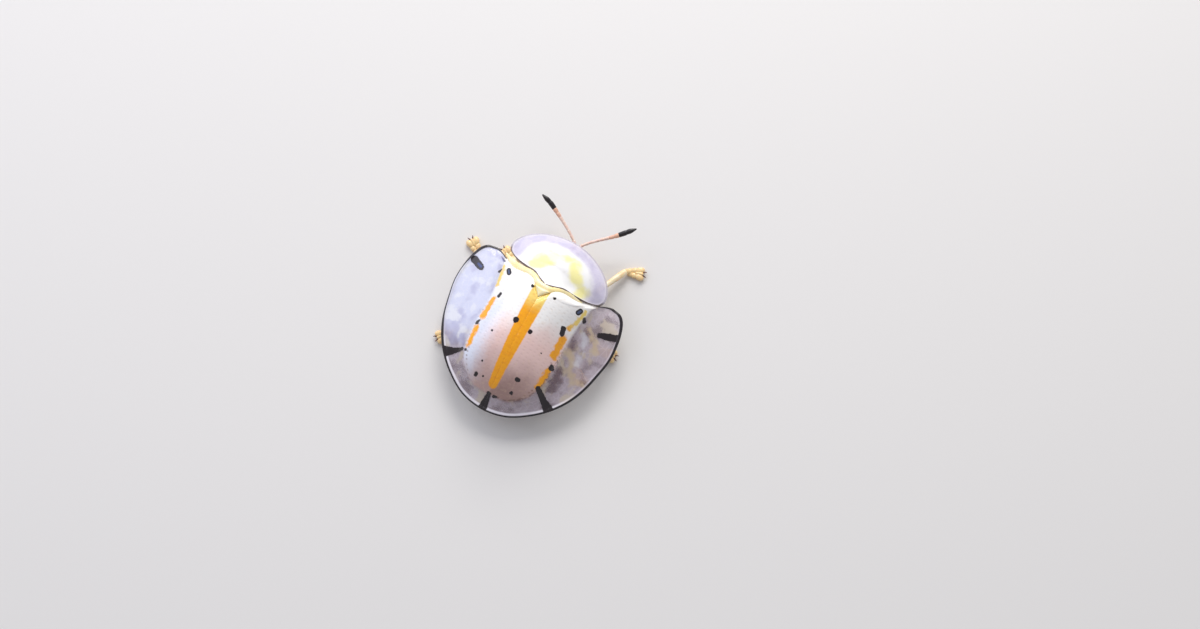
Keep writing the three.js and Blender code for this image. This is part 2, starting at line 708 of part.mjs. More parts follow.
// Origin at the bottom centre of the bounding box
beetle.updateMatrixWorld(true);
const box = new THREE.Box3().setFromObject(beetle, true);
const middle = box.getCenter(vec(0, 0, 0));
beetle.position.set(-middle.x, -middle.y, -box.min.z);

export default beetle;
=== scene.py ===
"""A tortoise beetle at life size, standing on a pale floor.

Sizes are in millimetres in the body's own frame: +Y to the head, +X to the beetle's right,
+Z up, y = 0 near the tip of the wing cases and z = 0 at the floor. place() turns them into
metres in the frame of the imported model.
"""
import math

import bpy
import numpy as np
from bpy.props import FloatProperty, FloatVectorProperty, PointerProperty
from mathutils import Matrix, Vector


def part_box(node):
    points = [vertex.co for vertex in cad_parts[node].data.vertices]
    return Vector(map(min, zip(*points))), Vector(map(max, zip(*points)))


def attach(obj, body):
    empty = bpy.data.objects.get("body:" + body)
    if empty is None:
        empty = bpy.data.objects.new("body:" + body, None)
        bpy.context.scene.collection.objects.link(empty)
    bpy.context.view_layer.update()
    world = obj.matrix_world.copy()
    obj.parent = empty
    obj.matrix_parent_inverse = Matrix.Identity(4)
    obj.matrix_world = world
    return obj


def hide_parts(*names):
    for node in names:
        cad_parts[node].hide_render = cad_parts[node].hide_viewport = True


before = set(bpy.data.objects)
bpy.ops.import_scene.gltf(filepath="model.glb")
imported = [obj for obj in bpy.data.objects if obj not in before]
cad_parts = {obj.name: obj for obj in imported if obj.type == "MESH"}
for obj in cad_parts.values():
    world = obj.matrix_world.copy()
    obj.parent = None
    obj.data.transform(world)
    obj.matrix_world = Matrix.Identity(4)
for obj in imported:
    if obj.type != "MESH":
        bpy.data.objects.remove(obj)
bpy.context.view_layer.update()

bl_info = {
    "name": "Tortoise Beetle",
    "version": (1, 0, 0),
    "blender": (4, 5, 0),
    "location": "View3D > Sidebar > Beetle",
    "description": "Builds a life-size tortoise beetle piece by piece",
    "category": "Add Mesh",
}

# The body's frame
MM = 0.001
BODY = "root"
TIP_Y = -0.15
LEFT_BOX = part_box("elytron_left")
RIGHT_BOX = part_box("elytron_right")
ORIGIN = np.array(
    [(LEFT_BOX[0].x + RIGHT_BOX[1].x) / 2, RIGHT_BOX[0].y - TIP_Y * MM, 0.0]
)

# Wing cases: the rim's radius against the angle round the shield's centre, and the edge
# on from there. The rim rises by SHOULDER_LIFT from LIFT_FROM degrees, over LIFT_OVER.
SHIELD_CENTRE_Y = 5.6
RIM_Z = 1.75
SHOULDER_LIFT = 0.06
LIFT_FROM = 20
LIFT_OVER = 20
RIM_KEYS = [
    (-90, 5.75), (-72, 5.72), (-54, 5.63), (-36, 5.71), (-20, 5.89), (-5, 6.13),
    (5, 6.38), (16, 6.85), (25, 7.22), (33, 7.57), (39, 7.77), (43, 7.74), (46, 7.5),
]
SHOULDER_EDGE = [
    (4.9, 11.03, 1.85), (4.5, 10.92, 1.95), (4.1, 10.7, 2.15), (3.75, 10.5, 2.5),
    (3.35, 10.3, 2.95), (2.9, 10.1, 3.4), (2.3, 9.97, 3.9), (1.6, 9.93, 4.35),
    (1.0, 9.82, 4.65), (0.7, 9.45, 4.85),
]
NOTCH_TIP = (0.0, 8.62, 5.05)
# Base: ahead of BASE_Y the edge is a rounded slope, which gives way to the margin over
# BASE_BLEND inside BASE_OUTER
BASE_Y = 7
BASE_OUTER = 4.6
BASE_BLEND = 1.4
BASE_SLOPE = 0.9
BASE_WALL = 0.24
# Half width of the raised disc, height over the suture and height of the border against y
DISC_KEYS = [
    (0.95, 0), (1.0, 1.1), (1.26, 1.75), (1.66, 2.3), (2.1, 2.74), (2.8, 3.06),
    (3.67, 3.28), (5.4, 3.4), (7.2, 3.36), (8.3, 3.44), (9.4, 3.62), (10.1, 3.7),
]
SUTURE_KEYS = [
    (0, 1.75), (0.95, 2.45), (2, 3.35), (3.5, 4.2), (5, 4.72), (6.5, 5.0), (8, 5.16),
    (8.9, 5.16), (9.6, 5.05), (10.2, 4.9),
]
BORDER_KEYS = [(0.95, 2.42), (2, 2.75), (3, 2.95), (5, 3.1), (7, 3.15), (10, 3.3)]
DISC_POWER = 2.3
TAIL_Y = 0.95
# Gap between the wing cases, from the middle
SEAM = 0.001
# Relief: how far inside the rim its bead lies and the bead's half width, depth and half
# width of the groove along the suture and of the ditch at the border, and the swells' height
RIM_BEAD_AT = 0.09
RIM_BEAD_WIDTH = 0.07
GROOVE = (0.008, 0.06)
DITCH = (0.03, 0.13)
SWELL = 0.016

# Pronotum, in the fore body's frame
PRONOTUM_BACK = 9.75
PRONOTUM_TURN = math.radians(-4.5)
PRONOTUM_HALF_WIDTH = 4.1
PRONOTUM_LENGTH = 4.24
PRONOTUM_CORNER = 1.6
PRONOTUM_CORNER_Z = 2.55
PRONOTUM_RIM_Z = 2.45
PRONOTUM_POWER = 1.8
PRONOTUM_CENTRE = (0.0, 1.7, 4.32)
PRONOTUM_REAR = [
    (0, 0, 4.85), (0.7, 0.25, 4.72), (1.3, 0.52, 4.48), (2.1, 0.6, 4.05),
    (2.9, 0.75, 3.45), (3.5, 0.96, 2.95), (3.93, 1.22, 2.65),
]
FRONT_POWER = 1.85
# The opaque middle: a superellipse of half width and length ahead of CLEAR_Y
CLEAR_HALF_WIDTH = 2.95
CLEAR_LENGTH = 2.4
CLEAR_Y = 0.9
CLEAR_POWER = 2.4
# Relief of the pronotum: place, half widths and depth of the two dents, place and half
# width of the edge's bead, depth and half width of the step to the see-through border
DENT_AT = (1.5, 0.95)
DENT_SIZE = (0.5, 0.3)
DENT_DEPTH = 0.05
NECK_BEAD = (0.08, 0.06)
CLEAR_STEP = (0.03, 0.16)
HEAD_AT = (0.0, 12.85 - PRONOTUM_BACK, 1.75)

# Body
BELLY_Z = 1.45
BELLY_POWER = 2.4
BODY_INSET = 0.45
BODY_THICKNESS = 0.12
BACK_DEPTH = 0.75
WAIST = 5.75
ABDOMEN_START = 1.75
STERNITES = 5
THORAX_END = 9.55
# Keels of the breast and, in the fore body's frame, of the throat: a path, and half width
# and half height against the share of it
CHEST_KEEL = (
    [(0, 6.3, 1.42), (0, 7.6, 1.28), (0, 9.1, 1.36)],
    [(0, 0.2), (0.5, 0.42), (1, 0.3)],
    [(0, 0.1), (1, 0.16)],
)
THROAT_KEEL = (
    [(0, 0.3, 1.4), (0, 1.0, 1.28), (0, 1.8, 1.4)],
    [(0, 0.28), (0.5, 0.2), (1, 0.3)],
    [(0, 0.12), (1, 0.12)],
)

# Black marks: (x, y, radius) at one end and at the other, on the beetle's right
MARKS_RIGHT = [
    (5.08, 8.76, 0.2, 5.6, 8.95, 0.27), (5.6, 8.95, 0.27, 6.6, 9.35, 0.24),
    (3.1, 2.98, 0.2, 3.7, 2.55, 0.24), (3.7, 2.55, 0.24, 4.6, 1.9, 0.42),
    (0.02, 1.02, 0.16, 0.0, -0.2, 0.34),
    (1.11, 9.15, 0.12, 1.16, 9.15, 0.1), (1.51, 1.77, 0.13, 1.51, 1.77, 0.13),
    (0.42, 1.0, 0.1, 0.62, 1.05, 0.07), (0.76, 6.16, 0.17, 0.76, 6.16, 0.17),
    (3.22, 4.75, 0.2, 3.2, 4.85, 0.18), (1.49, 2.78, 0.17, 1.56, 2.78, 0.14),
    (2.13, 5.25, 0.05, 2.13, 5.25, 0.05), (3.67, 8.98, 0.15, 3.58, 9.2, 0.08),
    (2.75, 7.26, 0.17, 2.66, 7.62, 0.2),
]
MARKS_LEFT = [
    (-6.05, 9.45, 0.28, -5.25, 9.12, 0.24), (-6.6, 9.3, 0.07, -6.32, 10.05, 0.05),
    (-3.35, 2.97, 0.12, -3.9, 2.6, 0.24), (-3.9, 2.6, 0.24, -4.75, 2.15, 0.5),
    (-3.05, 3.0, 0.1, -3.05, 3.0, 0.1),
    (-0.02, 1.02, 0.16, 0.0, -0.2, 0.34),
    (-0.73, 9.19, 0.12, -0.73, 9.19, 0.12), (-0.9, 1.87, 0.06, -0.9, 1.87, 0.06),
    (-2.71, 7.55, 0.13, -2.66, 7.72, 0.12), (-3.24, 5.1, 0.12, -3.19, 5.3, 0.12),
    (-0.57, 6.46, 0.22, -0.57, 6.46, 0.2), (-1.47, 1.78, 0.16, -1.47, 1.78, 0.16),
    (-1.83, 5.0, 0.06, -1.83, 5.0, 0.06), (-3.71, 9.3, 0.1, -3.6, 9.5, 0.05),
    (-1.45, 2.8, 0.08, -1.45, 2.8, 0.08),
]
# Slate-blue eye spots inside a thin black ring: (x, y, radius) at one end and the other
RINGS_RIGHT = [(3.02, 9.22, 0.1, 3.12, 9.44, 0.1)]
RINGS_LEFT = [(-2.86, 9.4, 0.1, -3.02, 9.6, 0.1)]
# Orange bands beside the suture and along the disc's border, as capsules in the same form
SUTURE_BAND = [
    (0.0, 9.4, 0.66, 0.0, 7.6, 0.64), (0.0, 7.6, 0.64, 0.0, 5.0, 0.53),
    (0.0, 5.0, 0.53, 0.0, 1.75, 0.34),
]
SIDE_BANDS_RIGHT = [
    (3.45, 9.6, 0.1, 3.22, 8.5, 0.13), (3.22, 8.5, 0.13, 3.0, 7.9, 0.12),
    (2.95, 7.1, 0.2, 2.98, 5.6, 0.27), (3.12, 4.5, 0.2, 3.02, 3.1, 0.2),
]
SIDE_BANDS_LEFT = [
    (-3.52, 9.75, 0.12, -3.34, 8.3, 0.12), (-2.98, 7.25, 0.17, -3.06, 5.78, 0.26),
    (-3.1, 4.8, 0.18, -3.02, 3.3, 0.15),
]
# Painted dark blue reflections at the shoulders, in the same form
GLINTS_RIGHT = [(3.75, 10.36, 0.03, 3.9, 10.42, 0.03)]
GLINTS_LEFT = [(-4.3, 10.55, 0.03, -3.75, 10.2, 0.12), (-5.6, 9.28, 0.1, -5.3, 9.16, 0.14)]
# Patches of painted light on the right margin, in the same form: pearl white and beige
# painted reflections, and plum painted shade
WHITE_REFLECTIONS = [
    (3.76, 8.6, 0.1, 4.25, 7.9, 0.22), (4.25, 7.9, 0.22, 4.63, 7.1, 0.12),
    (4.63, 7.1, 0.12, 4.55, 6.1, 0.2),
]
BEIGE_REFLECTIONS = [
    (3.6, 6.4, 0.25, 4.26, 6.1, 0.2), (4.26, 6.1, 0.2, 4.34, 5.3, 0.2),
    (4.34, 5.3, 0.22, 4.93, 4.78, 0.3), (4.93, 4.78, 0.3, 5.72, 4.92, 0.14),
    (4.19, 8.78, 0.16, 5.0, 8.1, 0.16), (5.0, 8.1, 0.16, 5.33, 7.5, 0.3),
]
PLUM_SHADE = [
    (3.45, 7.7, 0.16, 3.75, 6.9, 0.26), (3.75, 5.1, 0.1, 3.85, 4.3, 0.42),
    (3.85, 4.3, 0.42, 3.84, 3.5, 0.4),
]
# Half width of the dark rim line against y; the line is partly the rim's dark edge and partly
# painted shade of the gap under the rim
RIM_LINE_RIGHT = [(-1, 0.035), (1, 0.05), (4, 0.1), (8, 0.12), (9.5, 0.17), (11.3, 0.17)]
RIM_LINE_LEFT = [
    (-1, 0.035), (1, 0.06), (3.5, 0.14), (5, 0.06), (8.5, 0.03), (9.8, 0.14), (11.3, 0.16),
]
# Pits: rows across the disc's half width, pits to a millimetre and how far they scatter
PIT_ROWS = 8.0
PIT_RUN = 3.4
PIT_SCATTER = 0.32
# Pale yellow patches of the pronotum, in its own frame
PRONOTUM_PATCHES = [
    (-1.75, 0.9, 0.4, -0.8, 2.3, 0.55), (-0.8, 2.3, 0.45, 0.5, 2.75, 0.2),
    (0.9, 2.5, 0.35, 1.6, 1.7, 0.5), (2.5, 1.2, 0.4, 2.4, 0.8, 0.4),
]

# Legs: hip in plan, knee, ankle, and the tip of the foot in plan
LEGS = {
    "front_right": ((0.85, 10.95), (3.2, 11.6, 1.25), (4.34, 14.41, 0.42), (5.62, 14.83)),
    "front_left": ((-0.75, 10.95), (-2.2, 12.75, 1.3), (-3.6, 10.93, 0.42), (-4.85, 11.47)),
    "middle_right": ((1.45, 8.7), (3.75, 8.85, 1.4), (5.45, 8.05, 0.42), (6.75, 8.15)),
    "middle_left": ((-1.45, 8.7), (-3.6, 9.1, 1.4), (-6.2, 10.22, 0.42), (-7.36, 11.0)),
    "hind_right": ((1.35, 6.6), (3.55, 6.75, 1.4), (4.6, 5.95, 0.42), (5.6, 5.15)),
    "hind_left": ((-1.35, 6.6), (-3.5, 6.15, 1.4), (-4.95, 4.0, 0.42), (-5.85, 3.0)),
}
HIP_Z = 0.95
# Half widths of the hip's ball and its height over HIP_Z, half width and half height of
# the ring after it and of the thigh, then half widths of shin and claw at each end
HIP_BALL = (0.36, 0.5, 0.42)
HIP_BALL_RISE = 0.34
HIP_RING = (0.21, 0.2)
THIGH = (0.3, 0.27)
SHIN_START = 0.18
SHIN_END = 0.27
CLAW_START = 0.055
CLAW_END = 0.008
# Lobes of a foot: share of its length, offset to each side, half length, half width and
# half height
FOOT_LOBES = [
    (0.2, 0.13, 0.25, 0.2, 0.15), (0.46, 0.19, 0.28, 0.22, 0.16), (0.76, 0.25, 0.36, 0.26, 0.19),
]
PAD_HEIGHT = 0.075
LOBE_SPLAY = 0.3
FRINGE_HAIRS = 26
HAIR_RADIUS = 0.006
# Feelers: side, and the places that each passes on its way from the socket to its tip
FEELERS = {
    "right": (1, [(0.6, 14.25, 1.82), (2.57, 16.07, 2.25), (3.66, 17.2, 2.5)]),
    "left": (-1, [(-0.02, 14.17, 1.82), (-2.82, 15.83, 2.25), (-3.88, 16.17, 2.5)]),
}
SOCKET_ROOT = (0.2, 0.46, 0.2)
SOCKET_TIP = (0.25, 0.66, 0.16)
JOINT_LENGTHS = [0.62, 0.34, 0.5, 0.48, 0.44, 0.4, 0.4, 0.42, 0.44, 0.64, 0.9]
FEELER_RADII = [0.2, 0.12, 0.12, 0.12, 0.125, 0.13, 0.14, 0.16, 0.18, 0.2, 0.195]
FIRST_CLUB_JOINT = 10
# Skull, face plate and upper lip in the head's frame: centre, half widths, and steps round
# and from end to end
HEAD_EGGS = [
    ((0, -0.05, 0.02), (0.8, 0.6, 0.76), 64, 44),
    ((0, 0.24, -0.16), (0.46, 0.42, 0.46), 48, 32),
    ((0, 0.42, -0.5), (0.36, 0.2, 0.16), 40, 20),
]
NECK = [(0, -0.85, 0.1), (0, -0.1, 0.05)]
NECK_SIZE = (0.66, 0.6)
SOCKET_RADIUS = 0.19
# Eye: half widths and place in the head's frame, and depth and half height of the bay in
# its front edge
EYE = (0.3, 0.4, 0.52)
EYE_AT = (0.75, 0.1, 0.1)
EYE_BAY = (0.1, 0.22)
# Mouthparts of the right side, in the head's frame
JAW = [(0.34, 0.24, -0.44), (0.3, 0.36, -0.62), (0.05, 0.4, -0.7)]
LONG_PALP = [(0.42, 0.02, -0.5), (0.6, 0.1, -0.62), (0.66, 0.22, -0.76), (0.56, 0.34, -0.9)]
LONG_PALP_RADII = (0.08, 0.09, 0.1)
SHORT_PALP = [(0.16, 0.0, -0.66), (0.22, 0.1, -0.8), (0.18, 0.2, -0.9)]
SHORT_PALP_RADIUS = 0.06

# Ridge between the pronotum and the wing cases, and the scutellum
COLLAR_POINTS = [
    (-4.1, 10.95, 2.15), (-3.4, 10.55, 2.78), (-2.7, 10.27, 3.45), (-1.9, 10.16, 3.98),
    (-1.4, 10.14, 4.25), (-0.95, 9.97, 4.5), (-0.5, 9.66, 4.72), (0.0, 9.55, 4.78),
    (0.55, 9.6, 4.72), (0.95, 9.8, 4.52), (1.4, 10.02, 4.22), (1.9, 10.02, 3.98),
    (2.6, 9.98, 3.55), (3.2, 10.1, 3.0),
]
COLLAR_HALF_WIDTH = 0.26
COLLAR_HALF_HEIGHT = 0.22
SCUTELLUM_CORNERS = [(0.66, 9.42), (0.0, 8.66), (-0.66, 9.42)]
# Rings of the scutellum from below: share of its outline, and height
SCUTELLUM_RINGS = [
    (0.9, 4.4), (0.9, 4.4), (0.97, 4.8), (1, 4.98), (0.94, 5.06), (0.8, 5.11), (0.5, 5.15),
    (0.02, 5.16),
]

# Steps of the grids and paths
EDGE_STEPS = 7
RIM_STEPS = 210
BASE_STEPS = 70
NOTCH_STEPS = 16
DISC_STEPS = 58
MARGIN_STEPS = 40
FRONT_STEPS = 90
REAR_STEPS = 80
DOME_STEPS = 74
BEAD_STEPS = 15
LIMB_STEPS = 33
CLAW_STEPS = 21
JAW_STEPS = 21
JAW_SIDES = 20
BODY_SIDES = 72
KEEL_STEPS = 31
COLLAR_STEPS = 220
COLLAR_SIDES = 28
BELLY_STEPS = 91
CHEST_STEPS = 61
THROAT_STEPS = 31
FEELER_STEPS = 400
JOINT_STEPS = 17
JOINT_SIDES = 18
OUTLINE_STEPS = 72

# Camera, fitted to the photograph by its outline and marks. Its focal length is in pixels
# of a picture PHOTO_WIDTH across, its place in millimetres and degrees.
PHOTO_WIDTH = 1200
FOCAL_PIXELS = 1445.0
SENSOR_WIDTH = 36.0
VIEW_AZIMUTH = 28.5
VIEW_ELEVATION = 79.0
VIEW_DISTANCE = 110.0
VIEW_TARGET = (4.134, 10.546, 0.0)
# Light panels: the direction each shines from and its size in metres
KEY_PANEL = ((-0.28, 0.78, 0.6), 0.16)
SIDE_PANEL = ((-0.81, 0.17, 0.58), 0.2)
WARM_LIGHT = (1.0, 0.98, 0.95)
LILAC_LIGHT = (0.84, 0.86, 1.0)
ROOM_TONE = (0.93, 0.94, 1.0, 1.0)
# Distance of the panels and radius of the floor, in metres
PANEL_DISTANCE = 0.25
FLOOR_RADIUS = 1.2
FLOOR_SIDES = 96


# Shapes


def place(points):
    """Millimetres in the body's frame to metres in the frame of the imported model."""
    return np.asarray(points, float) * MM + ORIGIN


def keyed(keys, t):
    """Cubic Hermite curve through (t, value) keys, whose slope at a key is that of the
    chord between its neighbours, held level past both ends."""
    ts, vs = (np.array(column, float) for column in zip(*keys))
    slopes = np.empty_like(vs)
    slopes[1:-1] = (vs[2:] - vs[:-2]) / (ts[2:] - ts[:-2])
    slopes[0] = (vs[1] - vs[0]) / (ts[1] - ts[0])
    slopes[-1] = (vs[-1] - vs[-2]) / (ts[-1] - ts[-2])
    t = np.clip(np.asarray(t, float), ts[0], ts[-1])
    i = np.clip(np.searchsorted(ts, t, side="right") - 1, 0, len(ts) - 2)
    h = ts[i + 1] - ts[i]
    s = (t - ts[i]) / h
    return (
        vs[i] * (1 + 2 * s) * (1 - s) ** 2
        + slopes[i] * h * s * (1 - s) ** 2
        + vs[i + 1] * s * s * (3 - 2 * s)
        + slopes[i + 1] * h * s * s * (s - 1)
    )


def path_through(points, count):
    """Smooth path through points, by a cubic in the length of the chords."""
    points = np.asarray(points, float)
    run = np.r_[0, np.cumsum(np.linalg.norm(np.diff(points, axis=0), axis=1))]
    at = np.linspace(0, 1, count) * run[-1]
    return np.stack([keyed(list(zip(run, points[:, k])), at) for k in range(3)], 1)


def smooth(low, high, value):
    """0 below low, 1 above high, and 3 s^2 - 2 s^3 between them."""
    s = np.clip((np.asarray(value, float) - low) / (high - low), 0, 1)
    return s * s * (3 - 2 * s)


def mix(a, b, share):
    """a where share is 0 and b where it is 1."""
    return a + (b - a) * share


def capsules(x, y, shapes):
    """Signed distance in plan to the nearest capsule: the distance to the segment between
    its two ends, less a radius that runs evenly from one end's to the other's."""
    best = np.full(np.shape(x), 9.0)
    for ax, ay, ar, bx, by, br in shapes:
        dx, dy = bx - ax, by - ay
        long = dx * dx + dy * dy
        t = np.clip(((x - ax) * dx + (y - ay) * dy) / long, 0, 1) if long else 0.0
        gap = np.hypot(x - ax - t * dx, y - ay - t * dy) - mix(ar, br, t)
        best = np.minimum(best, gap)
    return best


def crowd(count, power):
    """Shares from 0 to 1 that crowd towards 1: 1 - (1 - s)^power for even s."""
    return 1 - (1 - np.linspace(0, 1, count)) ** power


def hump(distance, half_width):
    """A bell: e^-(distance / half_width)^2."""
    return np.exp(-((distance / half_width) ** 2))


def disc_half_width(y):
    """Half width of the raised disc of the wing cases at y, 0 behind its tail."""
    return np.where(np.asarray(y) < TAIL_Y, 0.0, keyed(DISC_KEYS, y))


def disc_height(x, y):
    """Height of the disc: from its border to its height over the suture, less the share
    of the half width raised to DISC_POWER."""
    half = np.maximum(disc_half_width(y), 0.05)
    across = np.clip(np.abs(x) / half, 0, 1)
    border = keyed(BORDER_KEYS, y)
    return border + (keyed(SUTURE_KEYS, y) - border) * (1 - across**DISC_POWER)


class Surface:
    """Points in millimetres, faces and named values of one mesh, gathered part by part."""

    def __init__(self):
        self.points, self.quads, self.triangles = [], [], []
        self.values = {}
        self.count = 0

    def add(self, points, faces, **values):
        """Adds points, an array of four-cornered faces and named values, 0 where a part
        has none. A face with two corners alike becomes a triangle."""
        faces = np.asarray(faces) + self.count
        twin = faces == np.roll(faces, -1, axis=1)
        self.quads.append(faces[~twin.any(1)])
        for corner in range(4):
            rows = faces[twin[:, corner] & (twin.sum(1) == 1)]
            self.triangles.append(np.delete(rows, corner, axis=1))
        self.points.append(np.asarray(points, float))
        for name in set(values) | set(self.values):
            before = self.values.setdefault(name, [np.zeros(self.count)])
            given = values.get(name, 0.0)
            before.append(np.broadcast_to(given, len(points)).astype(float))
        self.count += len(points)
        return self

    def piece(self, name, finish, slot, *nodes):
        """Makes the mesh object, which rides on the body and stands for the nodes."""
        mesh = bpy.data.meshes.new(name)
        faces = [f for array in self.quads + self.triangles for f in array.tolist()]
        mesh.from_pydata(place(np.concatenate(self.points)).tolist(), [], faces)
        for key, arrays in self.values.items():
            layer = mesh.attributes.new(key, "FLOAT", "POINT")
            layer.data.foreach_set("value", np.concatenate(arrays).astype(np.float32))
        mesh.polygons.foreach_set("use_smooth", np.ones(len(mesh.polygons), bool))
        mesh.materials.append(finish)
        mesh.validate()
        made = bpy.data.objects.new(name, mesh)
        bpy.context.collection.objects.link(made)
        if nodes:
            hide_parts(*nodes)
        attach(made, BODY)
        return made


def grid(rows, columns, wrap_rows=False, wrap_columns=False):
    """Faces of a grid whose point (i, j) is number i * columns + j."""
    i = np.arange(rows if wrap_rows else rows - 1)[:, None]
    j = np.arange(columns if wrap_columns else columns - 1)[None, :]
    across = (j + 1) % columns
    below = (i + 1) % rows
    corners = [i * columns + j, i * columns + across, below * columns + across]
    corners.append(below * columns + j)
    return np.stack(np.broadcast_arrays(*corners), -1).reshape(-1, 4)


def outward(points, faces):
    """The faces turned round if the closed shape's volume comes out negative."""
    a, b, c, d = (points[faces[:, k]] for k in range(4))
    volume = (a * np.cross(b, c)).sum() + (a * np.cross(c, d)).sum()
    return faces if volume > 0 else faces[:, ::-1]


def loft(rings):
    """Points and faces of a closed tube through rings (n, sides, 3), whose first and last
    rings are gathered into a point each."""
    n, sides, _ = rings.shape
    rings = rings.copy()
    rings[0] = rings[0].mean(0)
    rings[-1] = rings[-1].mean(0)
    points = rings.reshape(-1, 3)
    number = np.arange(n * sides)
    number[:sides] = 0
    number[-sides:] = (n - 1) * sides
    faces = number[grid(n, sides, wrap_columns=True)]
    used, number = np.unique(faces, return_inverse=True)
    points = points[used]
    faces = number.reshape(-1, 4)
    return points, outward(points, faces)


def tube(centres, wide, tall, sides=24):
    """Closed tube round a path: ellipses of half widths wide and tall, square to the
    path, with tall on the side of +Z. Each end gathers into a point of the path."""
    centres = np.asarray(centres, float)
    wide = np.broadcast_to(wide, len(centres)).astype(float)
    tall = np.broadcast_to(tall, len(centres)).astype(float)
    along = np.gradient(centres, axis=0)
    along /= np.linalg.norm(along, axis=1, keepdims=True)
    side = np.cross(along, (0, 0, 1))
    side /= np.linalg.norm(side, axis=1, keepdims=True)
    top = np.cross(side, along)
    angle = np.linspace(0, 2 * np.pi, sides, endpoint=False)[None, :, None]
    rings = (
        centres[:, None]
        + side[:, None] * np.cos(angle) * wide[:, None, None]
        + top[:, None] * np.sin(angle) * tall[:, None, None]
    )
    return loft(rings)


def rounded(length_shares, power=2.0):
    """Radius share of a barrel: (1 - |2 t - 1|^power)^(1 / power)."""
    return np.clip(1 - np.abs(2 * length_shares - 1) ** power, 0, 1) ** (1 / power)


def bead(start, end, wide, tall, power=3.0, sides=20, taper=(1, 1)):
    """A barrel between two points with round ends. taper scales its two ends."""
    t = (1 - np.cos(np.linspace(0, np.pi, BEAD_STEPS))) / 2
    centres = mix(np.asarray(start, float), np.asarray(end, float), t[:, None])
    size = rounded(t, power) * mix(taper[0], taper[1], t)
    return tube(centres, size * wide, size * tall, sides)


def egg(centre, size, turn=0.0, wide=28, high=18):
    """Ellipsoid with half widths size, turned about Z."""
    a = np.linspace(0, 2 * np.pi, wide, endpoint=False)[None, :]
    b = np.linspace(-np.pi / 2, np.pi / 2, high)[:, None]
    x = np.cos(a) * np.cos(b) * size[0]
    y = np.sin(a) * np.cos(b) * size[1]
    z = np.broadcast_to(np.sin(b) * size[2], x.shape)
    c, s = math.cos(turn), math.sin(turn)
    rings = np.stack([c * x - s * y, s * x + c * y, z], -1) + np.asarray(centre, float)
    return loft(rings)


def turned(points):
    """Points of the fore body's own frame in the body's frame: turned about Z and moved
    to the rear edge of the pronotum."""
    points = np.asarray(points, float)
    c, s = math.cos(PRONOTUM_TURN), math.sin(PRONOTUM_TURN)
    x = c * points[..., 0] - s * points[..., 1]
    y = s * points[..., 0] + c * points[..., 1] + PRONOTUM_BACK
    return np.stack([x, y, points[..., 2]], -1)


def compact(points, faces, values):
    """Leaves out the points that no face uses."""
    used, number = np.unique(faces, return_inverse=True)
    kept = {key: np.asarray(value)[used] for key, value in values.items()}
    return points[used], number.reshape(faces.shape), kept


# Plates: the wing cases and the pronotum


def outward_plan(edge, centre_y):
    """Level unit vectors from a plate's centre to its edge."""
    plan = (edge - (0, centre_y, 0)) * (1, 1, 0)
    return plan / np.hypot(plan[:, :1], plan[:, 1:2])


def plate(top, wall, plan, values, closed):
    """A thin plate from rays (rays, steps, 3) of its top that share their first point.
    Its underside lies the wall below, and a half circle of the edge's wall joins the two,
    out along plan. values hold one number for each point of the top."""
    under = top - wall[..., None] * (0, 0, 1)
    radius = wall[:, -1:, None] / 2
    turn = np.linspace(-90, 90, EDGE_STEPS + 2)[1:-1]
    turn = np.radians(turn)[None, :, None]
    middle = (top[:, -1:] + under[:, -1:]) / 2
    out = plan[:, None, :] * radius * np.cos(turn)
    edge = middle + out + np.array([0, 0, 1.0]) * radius * np.sin(turn)
    points = np.concatenate([under, edge, top[:, ::-1]], axis=1)
    rays, across, _ = points.shape
    number = np.arange(rays * across).reshape(rays, across)
    number[:, 0] = number[0, 0]
    number[:, -1] = number[0, -1]
    faces = [number.ravel()[grid(rays, across, wrap_rows=closed)]]
    if not closed:
        j = np.arange(across // 2)
        back = across - 1 - j
        first, last = number[0], number[-1]
        faces.append(np.stack([first[j + 1], first[j], first[back], first[back - 1]], 1))
        faces.append(np.stack([last[j], last[j + 1], last[back - 1], last[back]], 1))
    spread = {}
    for key, value in values.items():
        rim = np.repeat(value[:, -1:], EDGE_STEPS, axis=1)
        spread[key] = np.concatenate([value, rim, value[:, ::-1]], axis=1).ravel()
    points = points.reshape(-1, 3)
    faces = np.concatenate(faces)
    points, faces, spread = compact(points, faces, spread)
    return points, outward(points, faces), spread


def wing_edge():
    """Edge of a right wing case from its tip to the notch of the scutellum: a radius keyed
    by angle round the shield's centre, a smooth path along the base, a straight notch."""
    degrees = np.linspace(RIM_KEYS[0][0], RIM_KEYS[-1][0], RIM_STEPS)
    radius, angle = keyed(RIM_KEYS, degrees), np.radians(degrees)
    lift = SHOULDER_LIFT * np.clip((degrees - LIFT_FROM) / LIFT_OVER, 0, 1)
    rim = np.stack(
        [
            np.cos(angle) * radius,
            SHIELD_CENTRE_Y + np.sin(angle) * radius,
            RIM_Z + lift,
        ],
        1,
    )
    rim[0, 0] = 0
    base = path_through([rim[-1], *SHOULDER_EDGE], BASE_STEPS)[1:]
    share = np.linspace(0, 1, NOTCH_STEPS)[1:, None]
    return np.concatenate([rim, base, mix(base[-1], np.array(NOTCH_TIP), share)])


def border_share(edge):
    """Share of each ray from the shield's centre to its edge at which it leaves the disc,
    by halving. Along the base the disc ends BASE_SLOPE before the edge."""
    length = np.hypot(edge[:, 0], edge[:, 1] - SHIELD_CENTRE_Y)
    on_base = 1 - BASE_SLOPE / length
    low, high = np.full(len(edge), 0.3), np.ones(len(edge))
    for _ in range(26):
        middle = (low + high) / 2
        y = mix(SHIELD_CENTRE_Y, edge[:, 1], middle)
        out = (np.abs(edge[:, 0] * middle) > disc_half_width(y)) | (y < TAIL_Y)
        low, high = np.where(out, low, middle), np.where(out, middle, high)
    blend = np.sqrt((low - on_base) ** 2 + 3e-4)
    return (low + on_base - blend) / 2, length


